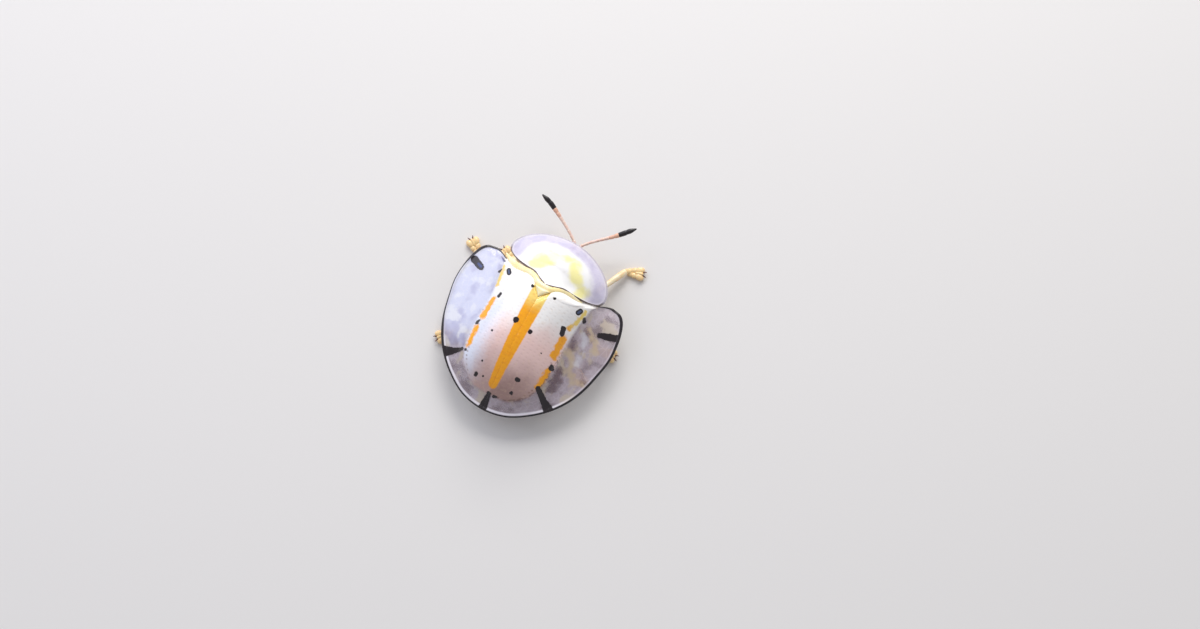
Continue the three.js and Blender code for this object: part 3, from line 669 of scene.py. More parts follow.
def wing_case(side, settings):
    """One wing case. On the disc its top is disc_height; on the margin it falls from the
    border's height to the rim's by 0.35 s + 0.65 s^2, and on the base by s (2 - s), with
    s = 1 at the border. A bead runs along the rim and a groove along the suture."""
    edge = wing_edge()
    share, length = border_share(edge)
    disc, margin = crowd(DISC_STEPS, 1.35), crowd(MARGIN_STEPS, 1.7)[1:]
    t = np.concatenate(
        [share[:, None] * disc, share[:, None] + (1 - share[:, None]) * margin], axis=1
    )
    s = np.concatenate([np.ones_like(disc), 1 - margin])[None, :]
    x = edge[:, :1] * t
    y = mix(SHIELD_CENTRE_Y, edge[:, 1:2], t)
    border_x, border_y = edge[:, 0] * share, mix(SHIELD_CENTRE_Y, edge[:, 1], share)
    border_z = disc_height(border_x, border_y)[:, None]
    rim_z = edge[:, 2:]
    inside = np.clip((BASE_OUTER - edge[:, 0]) / BASE_BLEND, 0, 1)
    base = np.where(edge[:, 1] > BASE_Y, inside, 0)[:, None]
    fall = mix(0.35 * s + 0.65 * s * s, s * (2 - s), base)
    z = np.where(s < 1, rim_z + (border_z - rim_z) * fall, disc_height(x, y))
    from_rim = (1 - t) * length[:, None]
    from_border = (t - share[:, None]) * length[:, None]
    raised = hump(from_rim - RIM_BEAD_AT, RIM_BEAD_WIDTH) * (1 - 0.6 * base)
    waves = np.sin(1.9 * x + 0.6) * np.sin(1.3 * y + 0.4) * smooth(0.0, -1.2, from_border)
    z = z + settings.bead * raised - GROOVE[0] * hump(x, GROOVE[1])
    z = z + SWELL * waves - DITCH[0] * hump(from_border, DITCH[1]) * (1 - base)
    wall = mix(settings.disc_wall, settings.margin_wall, smooth(-0.4, 0.6, from_border))
    wall = mix(wall, BASE_WALL, base * smooth(-0.4, 0.6, from_border))
    marks, rings, bands, glints, lines = (
        (MARKS_RIGHT, RINGS_RIGHT, SIDE_BANDS_RIGHT, GLINTS_RIGHT, RIM_LINE_RIGHT)
        if side > 0
        else (MARKS_LEFT, RINGS_LEFT, SIDE_BANDS_LEFT, GLINTS_LEFT, RIM_LINE_LEFT)
    )
    painted_light = {"pearl": WHITE_REFLECTIONS, "beige": BEIGE_REFLECTIONS, "plum": PLUM_SHADE}
    line = keyed(lines, edge[:, 1])[:, None] * (1 - smooth(0.5, 1.0, base))
    values = {
        "spot": capsules(side * x, y, marks),
        "ring": capsules(side * x, y, rings),
        "band": capsules(side * x, y, SUTURE_BAND),
        "side_band": capsules(side * x, y, bands),
        "clear": from_border * (1 - base) - base,
        "blue": capsules(side * x, y, glints),
        "rim": from_rim + 3 * smooth(0.5, 1.0, base),
        "line": np.broadcast_to(line, t.shape),
        "ahead": y,
        "across": np.clip(x / np.maximum(disc_half_width(y), 0.3), 0, 1.2),
    }
    if side > 0:
        values.update({name: capsules(x, y, places) for name, places in painted_light.items()})
    top = np.stack([side * (x + SEAM), y, z], -1)
    plan = outward_plan(edge, SHIELD_CENTRE_Y) * (side, 1, 1)
    return plate(top, wall, plan, values, closed=False)


def pronotum_edge():
    """Edge of the pronotum in its own frame, all round from the middle of its rear: a
    smooth path along the rear, then a superellipse of power FRONT_POWER to the front."""
    angle = np.linspace(0, 1, FRONT_STEPS) * np.pi / 2
    rise = np.sin(angle) ** (2 / FRONT_POWER)
    front = np.stack(
        [
            np.cos(angle) ** (2 / FRONT_POWER) * PRONOTUM_HALF_WIDTH,
            PRONOTUM_CORNER + (PRONOTUM_LENGTH - PRONOTUM_CORNER) * rise,
            mix(PRONOTUM_CORNER_Z, PRONOTUM_RIM_Z, rise),
        ],
        1,
    )
    front[-1, 0] = 0
    rear = path_through([*PRONOTUM_REAR, front[0]], REAR_STEPS)[:-1]
    right = np.concatenate([rear, front])
    return np.concatenate([right, right[-2:0:-1] * (-1, 1, 1)])


def pronotum_top(edge, q):
    """Coordinates at the share q of each ray: the height falls from the centre's by q to
    the power PRONOTUM_POWER."""
    x = edge[:, :1] * q
    y = mix(PRONOTUM_CENTRE[1], edge[:, 1:2], q)
    z = mix(PRONOTUM_CENTRE[2], edge[:, 2:], q**PRONOTUM_POWER)
    return x, y, z


def pronotum(settings):
    """The pronotum: a low dome with a see-through border in front and at the sides, a
    bead along its edge and a shallow dent on each side of its middle."""
    edge = pronotum_edge()
    q = crowd(DOME_STEPS, 1.3)[None, :]
    x, y, z = pronotum_top(edge, q)
    reach = np.hypot(edge[:, 0], edge[:, 1] - PRONOTUM_CENTRE[1])[:, None]
    from_rim = (1 - q) * reach
    wide = np.abs(x / CLEAR_HALF_WIDTH) ** CLEAR_POWER
    long = (np.maximum(y - CLEAR_Y, 0) / CLEAR_LENGTH) ** CLEAR_POWER
    clear = ((wide + long) ** (1 / CLEAR_POWER) - 1) * CLEAR_LENGTH
    dents = hump(np.abs(x) - DENT_AT[0], DENT_SIZE[0]) * hump(y - DENT_AT[1], DENT_SIZE[1])
    z = z + settings.bead * 0.8 * hump(from_rim - NECK_BEAD[0], NECK_BEAD[1])
    z = z - DENT_DEPTH * dents - CLEAR_STEP[0] * hump(clear, CLEAR_STEP[1])
    wall = mix(settings.disc_wall, settings.margin_wall, smooth(-0.4, 0.5, clear))
    plan = outward_plan(edge, PRONOTUM_CENTRE[1])
    values = {
        "clear": clear,
        "rim": from_rim,
        "ahead": np.broadcast_to(y, from_rim.shape),
        "patch": capsules(x, y, PRONOTUM_PATCHES),
    }
    top = np.stack(np.broadcast_arrays(x, y, z), -1)
    points, faces, values = plate(top, wall * np.ones(q.shape), plan, values, closed=True)
    return turned(points), faces, values


# Body, head, feelers and legs


def slices(y, half, top, belly, rise):
    """Rings of a body under a shield: a belly that rises to its sides by rise times
    |x / half| to the power BELLY_POWER, and a back at the height top(x, y)."""
    angle = np.linspace(0, 2 * np.pi, BODY_SIDES, endpoint=False)[None, :]
    x = np.cos(angle) * half[:, None]
    rows = np.broadcast_to(y[:, None], x.shape)
    under = belly[:, None] + rise * np.abs(np.cos(angle)) ** BELLY_POWER
    over = np.maximum(top(x, rows), under + BODY_THICKNESS)
    share = smooth(-0.5, 0.5, np.sin(angle) * 3)
    return np.stack([x, rows, mix(under, over, share)], -1)


def under_shield(x, y):
    """Height of the back under the wing cases."""
    return disc_height(x, y) - BACK_DEPTH


def belly_rings():
    """Abdomen: five sternites, each with a low step at its rear edge. Its tail is narrower
    and higher."""
    t = np.linspace(0, 1, BELLY_STEPS)
    y = mix(ABDOMEN_START, WAIST + 0.1, t)
    step = (t * STERNITES) % 1.0
    tail = 1 - (1 - np.clip((y - ABDOMEN_START) / 1.2, 0, 1)) ** 3
    half = np.maximum((disc_half_width(y) - BODY_INSET) * mix(0.72, 1, tail), 0.5)
    ridge = 0.1 * (1 - smooth(0.0, 0.35, step)) - 0.03 * smooth(0.6, 1.0, step)
    belly = BELLY_Z + 0.42 * (1 - tail) + ridge
    return slices(y, half, under_shield, belly, 0.68)


def chest_rings():
    """Middle and hind thorax, narrowing a little to the front."""
    t = np.linspace(0, 1, CHEST_STEPS)
    y = mix(WAIST + 0.13, THORAX_END + 0.1, t)
    half = (disc_half_width(y) - BODY_INSET) * (1 - 0.3 * t * t)
    seam = 0.06 * hump(t - 0.55, 0.02)
    belly = BELLY_Z + 0.05 * np.cos(t * np.pi * 2) + seam
    return slices(y, half, under_shield, belly, 0.85)


def throat_rings():
    """First ring of the thorax under the pronotum, in the fore body's own frame."""
    edge = pronotum_edge()
    angles = np.unwrap(np.arctan2(edge[:, 1] - PRONOTUM_CENTRE[1], edge[:, 0]))
    reach = np.hypot(edge[:, 0], edge[:, 1] - PRONOTUM_CENTRE[1])

    def top(x, y):
        angle = np.arctan2(y - PRONOTUM_CENTRE[1], x)
        angle = angles[0] + (angle - angles[0]) % (2 * np.pi)
        rim = np.interp(angle, angles, reach)
        low = np.interp(angle, angles, edge[:, 2])
        q = np.clip(np.hypot(x, y - PRONOTUM_CENTRE[1]) / rim, 0, 1)
        return mix(PRONOTUM_CENTRE[2], low, q**PRONOTUM_POWER) - 0.6

    t = np.linspace(0, 1, THROAT_STEPS)
    half = mix(2.35, 1.5, t * t)
    return slices(mix(0.05, 1.95, t), half, top, np.full(THROAT_STEPS, BELLY_Z), 0.5)


def keel(points, wide, tall):
    """Raised plate along the middle of the breast."""
    centres = path_through(points, KEEL_STEPS)
    t = np.linspace(0, 1, KEEL_STEPS)
    size = rounded(t, 4.0)
    return tube(centres, keyed(wide, t) * size, keyed(tall, t) * size, 24)


def feeler(side, places):
    """A feeler of eleven joints: each a barrel, stout at the root, thin from the second to
    the seventh and then wider to a club, laid end to end along a smooth path from its
    socket. The value joint counts them from 1."""
    socket = head_place(np.array(SOCKET_TIP) * (side, 1, 1))
    line = path_through([socket, *places], FEELER_STEPS)
    run = np.r_[0, np.cumsum(np.linalg.norm(np.diff(line, axis=0), axis=1))]
    run /= run[-1]
    ends = np.r_[0, np.cumsum(JOINT_LENGTHS)] / sum(JOINT_LENGTHS)
    made = Surface()
    for number, (a, b, wide) in enumerate(zip(ends, ends[1:], FEELER_RADII), 1):
        t = (1 - np.cos(np.linspace(0, np.pi, JOINT_STEPS))) / 2
        where = np.clip(mix(a - 0.004, b + 0.004, t), t * 1e-4, 1 - (1 - t) * 1e-4)
        centres = np.stack([np.interp(where, run, line[:, k]) for k in range(3)], 1)
        power, base = (9.0, 0.95) if number >= FIRST_CLUB_JOINT else (5.0, 0.84)
        size = rounded(t, power) * mix(base, 1.0, smooth(0, 0.8, t))
        if number == len(JOINT_LENGTHS):
            size = rounded(mix(0.12, 1, t), 3.0) * mix(1.0, 0.42, smooth(0.3, 1, t))
            size[0] = 0
        made.add(*tube(centres, size * wide, size * wide, JOINT_SIDES), joint=number)
    return made


def hairs(roots, ways, radius):
    """Fine hairs as long cones of three sides, from roots along ways, which hold their
    lengths."""
    along = ways / np.linalg.norm(ways, axis=1, keepdims=True)
    side = np.cross(along, (0.3, 0.2, 0.93))
    side /= np.linalg.norm(side, axis=1, keepdims=True)
    top = np.cross(side, along)
    angle = np.arange(3) * 2 * np.pi / 3
    ring = side[:, None] * np.cos(angle)[:, None] + top[:, None] * np.sin(angle)[:, None]
    base = roots[:, None] + ring * radius
    points = np.concatenate([base, (roots + ways)[:, None]], axis=1).reshape(-1, 3)
    one = np.array([[0, 2, 1, 1], [0, 1, 3, 3], [1, 2, 3, 3], [2, 0, 3, 3]])
    faces = (np.arange(len(roots))[:, None, None] * 4 + one).reshape(-1, 4)
    a, b, c, d = (points[faces[:4, k]] for k in range(4))
    turn = (a * np.cross(b, c)).sum() + (a * np.cross(c, d)).sum()
    return points, faces if turn > 0 else faces[:, ::-1]


def fringe(centre, wide, long, turn):
    """Hairs round the edge of a foot's lobe, pointing out and down to the floor."""
    angle = np.linspace(0, 2 * np.pi, FRINGE_HAIRS, endpoint=False)
    c, s = math.cos(turn), math.sin(turn)
    x, y = np.cos(angle) * wide, np.sin(angle) * long
    out = np.stack([c * x - s * y, s * x + c * y, np.zeros(FRINGE_HAIRS)], 1)
    roots = np.asarray(centre, float) + out * 0.92
    length = 0.3 + 0.1 * np.sin(angle * 7)
    ways = out * length[:, None]
    ways[:, 2] = -0.55 * roots[:, 2]
    return hairs(roots, ways, HAIR_RADIUS)


def leg_frame(ankle, toe):
    """Directions along and beside the foot, and a function that gives a point at the
    share t of the foot, an offset beside it and a height."""
    flat = np.array([toe[0] - ankle[0], toe[1] - ankle[1], 0.0])
    length = np.linalg.norm(flat)
    along = flat / length
    side = np.array([along[1], -along[0], 0.0])

    def at(t, offset, height):
        return np.array([ankle[0], ankle[1], height]) + along * t * length + side * offset

    return along, side, at


def leg(coxa, knee, ankle, toe):
    """A leg: the hip's ball, a short ring, a swollen thigh, a shin that widens to its end,
    three lobed foot joints with pale pads, the claw joint and two hooked claws. The value
    horn is 1 on the claws and pad is 1 on the pads."""
    made = Surface()
    coxa, knee, ankle = (np.asarray(p, float) for p in (coxa, knee, ankle))
    hip = np.array([coxa[0], coxa[1], HIP_Z])
    out = np.array([knee[0] - hip[0], knee[1] - hip[1], 0.0])
    out /= np.linalg.norm(out)
    turn = math.atan2(out[1], out[0]) - math.pi / 2
    made.add(*egg(hip + (0, 0, HIP_BALL_RISE), HIP_BALL, turn, 30, 20))
    made.add(*bead(hip + out * 0.12 + (0, 0, 0.12), hip + out * 0.52, *HIP_RING))
    thigh_start = hip + out * 0.42
    thigh_middle = mix(thigh_start, knee, 0.5) + (0, 0, 0.06)
    centres = path_through([thigh_start, thigh_middle, knee], LIMB_STEPS)
    t = np.linspace(0, 1, LIMB_STEPS)
    swell = rounded(t, 4.5) * mix(0.72, 1.0, np.sin(np.pi * np.clip(t * 1.05, 0, 1)))
    made.add(*tube(centres, swell * THIGH[0], swell * THIGH[1], 28))
    lean = knee - ankle
    lean /= np.linalg.norm(lean)
    bend = np.cross(lean, (0, 0, 1.0)) * 0.04
    shin_middle = mix(knee, ankle, 0.5) + bend
    centres = path_through([knee + lean * 0.12, shin_middle, ankle], LIMB_STEPS)
    width = mix(SHIN_START, SHIN_END, smooth(0.1, 0.95, t)) * rounded(t, 6.0)
    made.add(*tube(centres, width, width * 0.92, 26))
    along, side, at = leg_frame(ankle, toe)
    foot_turn = math.atan2(along[1], along[0]) - math.pi / 2
    made.add(*bead(at(-0.12, 0, 0.42), at(0.24, 0, 0.26), 0.2, 0.17), foot=1.0)
    for share, offset, long, wide, high in FOOT_LOBES:
        for hand in (-1, 1):
            turn = foot_turn - hand * LOBE_SPLAY
            centre = at(share, hand * offset, high + 0.05)
            made.add(*egg(centre, (wide, long, high), turn, 26, 16), foot=1.0)
            pad = at(share, hand * offset, PAD_HEIGHT)
            pad_size = (wide * 0.86, long * 0.88, PAD_HEIGHT)
            made.add(*egg(pad, pad_size, turn, 26, 10), pad=1.0)
            low = at(share, hand * offset, 0.14)
            made.add(*fringe(low, wide, long, turn), foot=1.0)
    made.add(*bead(at(0.5, 0, 0.3), at(0.98, 0, 0.3), 0.14, 0.15, taper=(0.7, 1.1)), foot=1.0)
    for hand in (-1, 1):
        root = at(0.93, hand * 0.07, 0.3)
        middle = root + along * 0.2 + side * hand * 0.12 + (0, 0, 0.01)
        tip = root + along * 0.32 + side * hand * 0.13 + (0, 0, -0.17)
        centres = path_through([root, middle, tip], CLAW_STEPS)
        size = mix(CLAW_START, CLAW_END, np.linspace(0, 1, CLAW_STEPS) ** 1.3)
        made.add(*tube(centres, size, size, 14), horn=1.0)
    return made


def head_shape():
    """The head in its own frame: a skull, the raised face plate, the upper lip, two jaws,
    two feeler sockets, two pairs of jointed palps and the neck. The value horn, 0 at a
    jaw's root and 1 at its tip, darkens the jaws."""
    made = Surface()
    for centre, size, wide, high in HEAD_EGGS:
        made.add(*egg(centre, size, 0, wide, high))
    t = np.linspace(0, 1, JAW_STEPS)
    size = mix(0.12, 0.025, t**1.5)
    dark = smooth(0.2, 0.8, np.r_[0, np.repeat(t[1:-1], JAW_SIDES), 1])
    for hand in (-1, 1):
        flip = np.array([hand, 1, 1])
        socket, socket_tip = SOCKET_ROOT * flip, SOCKET_TIP * flip
        made.add(*bead(socket, socket_tip, SOCKET_RADIUS, SOCKET_RADIUS, power=4.0))
        jaw = path_through(JAW, JAW_STEPS) * flip
        made.add(*tube(jaw, size * 1.2, size, JAW_SIDES), horn=dark)
        long = np.array(LONG_PALP) * flip
        for a, b, wide in zip(long, long[1:], LONG_PALP_RADII):
            made.add(*bead(a, b, wide, wide))
        short = np.array(SHORT_PALP) * flip
        for a, b in zip(short, short[1:]):
            made.add(*bead(a, b, SHORT_PALP_RADIUS, SHORT_PALP_RADIUS))
    made.add(*bead(*NECK, *NECK_SIZE, power=5.0, sides=40))
    return made


def eye_shape(side):
    """A large bean-shaped eye that wraps the side of the skull: an ellipsoid drawn in at
    its front edge by a bell."""
    points, faces = egg((0, 0, 0), EYE, 0, 56, 40)
    bay = EYE_BAY[0] * hump(points[:, 2] + 0.02, EYE_BAY[1]) * (points[:, 1] > 0)
    points[:, 1] -= bay * points[:, 1] / 0.38
    points = (points + EYE_AT) * (side, 1, 1)
    return points, outward(points, faces)


def head_place(points):
    """Points of the head's own frame in the body's frame."""
    return turned(np.asarray(points, float) + HEAD_AT)


def collar():
    """Yellow ridge between the pronotum and the wing cases, thin at both ends."""
    line = path_through(COLLAR_POINTS, COLLAR_STEPS)
    t = np.linspace(0, 1, COLLAR_STEPS)
    size = rounded(t, 5.0) * mix(0.45, 1.0, smooth(0.0, 0.16, np.minimum(t, 1 - t)))
    wide = COLLAR_HALF_WIDTH * size * (1 + 0.04 * np.sin(t * 190))
    return tube(line + (0, 0, 0.03), wide, COLLAR_HALF_HEIGHT * size, COLLAR_SIDES)


def scutellum():
    """Small triangle with rounded sides and a low dome: rings of a triangle's outline
    pulled in towards its middle as they rise."""
    angle = np.linspace(0, 2 * np.pi, OUTLINE_STEPS, endpoint=False)
    corners = np.array(SCUTELLUM_CORNERS)
    share = angle / (2 * np.pi) * 3
    low = corners[share.astype(int) % 3]
    high = corners[(share.astype(int) + 1) % 3]
    outline = mix(low, high, (share % 1.0)[:, None])
    centre = corners.mean(0)
    rings = []
    for grow, z in SCUTELLUM_RINGS:
        plan = centre + (outline - centre) * grow
        rings.append(np.column_stack([plan, np.full(len(plan), z)]))
    return loft(np.array(rings))


# Finishes


def linear(red, green, blue):
    """Screen levels of 0 to 255 as a linear colour."""
    level = np.array([red, green, blue]) / 255
    slope = np.where(level <= 0.04045, level / 12.92, ((level + 0.055) / 1.055) ** 2.4)
    return (*slope.tolist(), 1.0)


# Tones that the settings don't hold
PEARL_SPECK = linear(236, 206, 172)
# Painted reflection: the pale blue sheen of the sky on the left of the disc
SKY_REFLECTION = linear(226, 234, 252)
PIT_BROWN = linear(120, 80, 60)
STREAK = linear(228, 132, 2)
BORDER_DOTS = linear(96, 58, 36)
NET = linear(240, 238, 250)
# Tones of the painted shade and painted reflection patches of the see-through margin
PAINTED_SHADE_RIGHT = linear(110, 80, 98)
PAINTED_SHADE_LEFT = linear(188, 188, 224)
PAINTED_REFLECTION_RIGHT = linear(224, 208, 188)
PAINTED_REFLECTION_LEFT = linear(244, 246, 254)
# Tones of the painted reflections and painted shade on the right margin
MARGIN_LIGHT_TONES = {
    "plum": linear(104, 70, 92), "beige": linear(228, 206, 176), "pearl": linear(240, 240, 254),
}
# Painted highlight along the rim's bead
RIM_HIGHLIGHT = linear(236, 232, 240)
# Dark rim line: partly the rim's dark edge, partly painted shade of the gap under the rim
DARK_RIM_AND_GAP_SHADE = linear(26, 16, 24)
# Painted reflection: dark blue glints on the black marks
PAINTED_GLINT = linear(44, 62, 120)
SLATE = linear(74, 88, 122)
NECK_WHITE = linear(251, 250, 249)
NECK_YELLOW = linear(254, 246, 172)
NECK_SPECK = linear(222, 214, 206)
NECK_NET = linear(246, 243, 252)
# Painted shade on the pronotum's see-through border
NECK_SHADE = linear(196, 190, 222)
# Painted highlight along the pronotum's edge
NECK_RIM_HIGHLIGHT = linear(240, 236, 246)
# Dark edge line of the pronotum, at the rear painted shade between it and the ridge
NECK_EDGE_LINE_AND_SHADE = linear(70, 42, 30)
RIDGE_DEEP = linear(252, 231, 164)
BACK_PLATE = linear(254, 244, 198)
BACK_PLATE_DEEP = linear(252, 230, 160)
JAW_BROWN = linear(96, 46, 22)
FEELER_DEEP = linear(230, 192, 178)
FEELER_TAN = linear(226, 176, 150)
FEELER_BLACK = linear(20, 10, 14)
FOOT = linear(250, 214, 156)
PAD = linear(240, 198, 138)
CLAW_BROWN = linear(92, 40, 22)
EYE_BLACK = linear(16, 10, 14)

SOCKETS = {
    "colour": "Base Color",
    "rough": "Roughness",
    "alpha": "Alpha",
    "normal": "Normal",
    "coat": "Coat Weight",
    "coat_rough": "Coat Roughness",
    "scatter": "Subsurface Weight",
    "scatter_scale": "Subsurface Scale",
    "ior": "IOR",
}


class Finish:
    """A material with a Principled shader, and short calls that add the nodes before it."""

    def __init__(self, name, **sockets):
        self.material = bpy.data.materials.new(name)
        self.material.use_nodes = True
        self.tree = self.material.node_tree
        self.shader = self.tree.nodes["Principled BSDF"]
        self.set(**sockets)

    def set(self, **sockets):
        """Gives inputs of the shader a number, a colour or another node's output."""
        for key, value in sockets.items():
            self.join(value, self.shader.inputs[SOCKETS[key]])
        return self.material

    def join(self, value, socket):
        """Links an output to a socket, or sets the socket."""
        if isinstance(value, bpy.types.NodeSocket):
            self.tree.links.new(value, socket)
        else:
            socket.default_value = value

    def add(self, kind, inputs, output=0, **settings):
        """A node, by its inputs, and the one output that is asked for."""
        node = self.tree.nodes.new(kind)
        for key, value in settings.items():
            setattr(node, key, value)
        for key, value in inputs.items():
            self.join(value, node.inputs[key])
        return node.outputs[output]

    def value(self, name):
        """A value stored on the piece's points."""
        return self.add("ShaderNodeAttribute", {}, "Fac", attribute_name=name)

    def noise(self, size, detail):
        """Noise whose lumps are about size millimetres, in object coordinates."""
        vector = self.add("ShaderNodeTexCoord", {}, "Object")
        inputs = {"Vector": vector, "Scale": 1 / (size * MM), "Detail": detail}
        return self.add("ShaderNodeTexNoise", inputs, 0)

    def cells(self, size, feature="F1"):
        """Distance in cells about size millimetres across."""
        vector = self.add("ShaderNodeTexCoord", {}, "Object")
        inputs = {"Vector": vector, "Scale": 1 / (size * MM)}
        return self.add("ShaderNodeTexVoronoi", inputs, "Distance", feature=feature)

    def step(self, value, low, high):
        """0 at low and 1 at high, smoothly, whichever of the two is larger."""
        inputs = {0: value, 1: low, 2: high}
        return self.add("ShaderNodeMapRange", inputs, 0, interpolation_type="SMOOTHSTEP")

    def sum(self, operation, a, b=0.0):
        """One step of arithmetic."""
        return self.add("ShaderNodeMath", {0: a, 1: b}, 0, operation=operation)

    def plus(self, a, b):
        """a and b added."""
        return self.sum("ADD", a, b)

    def minus(self, a, b):
        """a less b."""
        return self.sum("SUBTRACT", a, b)

    def times(self, *shares):
        """Two or more numbers multiplied, from the left."""
        product = shares[0]
        for share in shares[1:]:
            product = self.sum("MULTIPLY", product, share)
        return product

    def most(self, a, b):
        """The larger of a and b."""
        return self.sum("MAXIMUM", a, b)

    def jitter(self, size, detail, reach):
        """Noise about zero whose whole range is reach."""
        return self.times(self.minus(self.noise(size, detail), 0.5), reach)

    def blend(self, share, a, b):
        """Colour a where share is 0 and b where it is 1."""
        return self.add("ShaderNodeMix", {0: share, 6: a, 7: b}, 2, data_type="RGBA")

    def bump(self, height, millimetres):
        """A raised surface from a height of 0 to 1."""
        return self.add("ShaderNodeBump", {"Height": height, "Distance": millimetres * MM}, 0)


def pits(f, across, along):
    """Pits in rows, 1 in each: cells of a plane with PIT_ROWS of them across the disc's
    half width and PIT_RUN to a millimetre along."""
    row = f.times(across, PIT_ROWS)
    run = f.times(along, PIT_RUN)
    plane = f.add("ShaderNodeCombineXYZ", {0: row, 1: run})
    inputs = {"Vector": plane, "Scale": 1.0, "Randomness": PIT_SCATTER}
    near = f.add(
        "ShaderNodeTexVoronoi", inputs, "Distance", feature="F1", voronoi_dimensions="2D"
    )
    return f.step(near, 0.34, 0.08)


def disc_tones(f, side, settings, across, ahead, wander, ragged, holes):
    """The disc: deep pearl at the rear, pink past the middle and white to the front, which is a
    painted highlight and reaches further back on the left, with specks, brown pits and, on the
    left, a painted pale blue reflection of the sky. The value holes is 1 in the pits and wander
    is the place along the disc, moved by noise."""
    late = f.times(f.step(wander, 5.2, 1.4), 1.0 if side > 0 else 0.7)
    rear = f.blend(late, tuple(settings.pearl), tuple(settings.pearl_deep))
    # Painted highlight: the disc turns white to the front, starting further back on the left
    highlight_from = 5.5 if side > 0 else 4.9
    white = f.step(wander, highlight_from, highlight_from + 2.4)
    pearl = f.blend(white, rear, tuple(settings.pearl_front_highlight))
    speck = f.times(f.step(f.noise(0.25, 4.0), 0.5, 0.8), 0.3)
    pearl = f.blend(speck, pearl, PEARL_SPECK)
    if side < 0:
        # Painted reflection of the sky along the left of the disc
        sky = f.times(f.step(f.plus(across, ragged), 0.3, 0.85), 0.9)
        sky = f.times(sky, f.step(wander, 0.9, 2.9), f.step(wander, 8.6, 6.6))
        pearl = f.blend(sky, pearl, SKY_REFLECTION)
    row = f.times(f.step(across, 0.84, 0.94), f.step(ahead, 7.5, 5.5))
    strong = f.plus(0.05, f.times(row, 0.6))
    return f.blend(f.times(holes, strong), pearl, PIT_BROWN)


def band_tones(f, side, settings, body, clear, ahead, ragged):
    """The disc with its orange bands, which are frayed at the sides and streaked, and on
    the right with a row of brown dots at its border."""
    front = f.step(f.plus(ahead, f.times(ragged, 5.0)), 7.3, 8.6)
    orange = f.blend(front, tuple(settings.stripe), tuple(settings.stripe_front))
    streak = f.times(f.step(f.noise(0.3, 3.0), 0.45, 0.75), 0.35)
    orange = f.blend(streak, orange, STREAK)
    band = f.step(f.plus(f.value("band"), f.times(ragged, 0.5)), 0.07, -0.05)
    frayed = f.plus(f.value("side_band"), f.times(ragged, 2.2))
    body = f.blend(f.most(band, f.step(frayed, 0.12, -0.08)), body, orange)
    if side > 0:
        near = f.step(f.sum("ABSOLUTE", f.plus(clear, ragged)), 0.16, 0.04)
        dots = f.times(near, f.step(f.noise(0.22, 1.0), 0.42, 0.56))
        dots = f.times(dots, f.step(ahead, 7.0, 5.5))
        body = f.blend(f.times(dots, 0.75), body, BORDER_DOTS)
    return body


def margin_tones(f, side, settings, net, milky_sky_sheen):
    """The see-through margin: a veil with a fine network, whiter and bluer where milky_sky_sheen
    is 1, partly milky and partly a painted reflection of the sky, with patches of painted
    shade and painted reflection and, on the right, placed patches of painted reflection and
    shade."""
    veil = f.blend(milky_sky_sheen, tuple(settings.veil), tuple(settings.veil_left_sky_sheen))
    veil = f.blend(f.times(net, 0.25), veil, NET)
    # Patches of painted shade and painted reflection over the veil
    shade_patch = f.times(f.step(f.noise(1.5, 2.0), 0.46, 0.64), 0.75)
    veil = f.blend(shade_patch, veil, f.blend(milky_sky_sheen, PAINTED_SHADE_RIGHT, PAINTED_SHADE_LEFT))
    reflection_patch = f.times(f.step(f.noise(1.2, 3.0), 0.51, 0.64), 0.85)
    veil = f.blend(reflection_patch, veil, f.blend(milky_sky_sheen, PAINTED_REFLECTION_RIGHT, PAINTED_REFLECTION_LEFT))
    if side > 0:
        # Placed patches of painted reflection and painted shade
        soft = f.jitter(0.5, 3.0, 0.9)
        for painted_patch, tone in MARGIN_LIGHT_TONES.items():
            there = f.step(f.plus(f.value(painted_patch), soft), 0.2, -0.25)
            veil = f.blend(f.times(there, 0.9), veil, tone)
    return veil


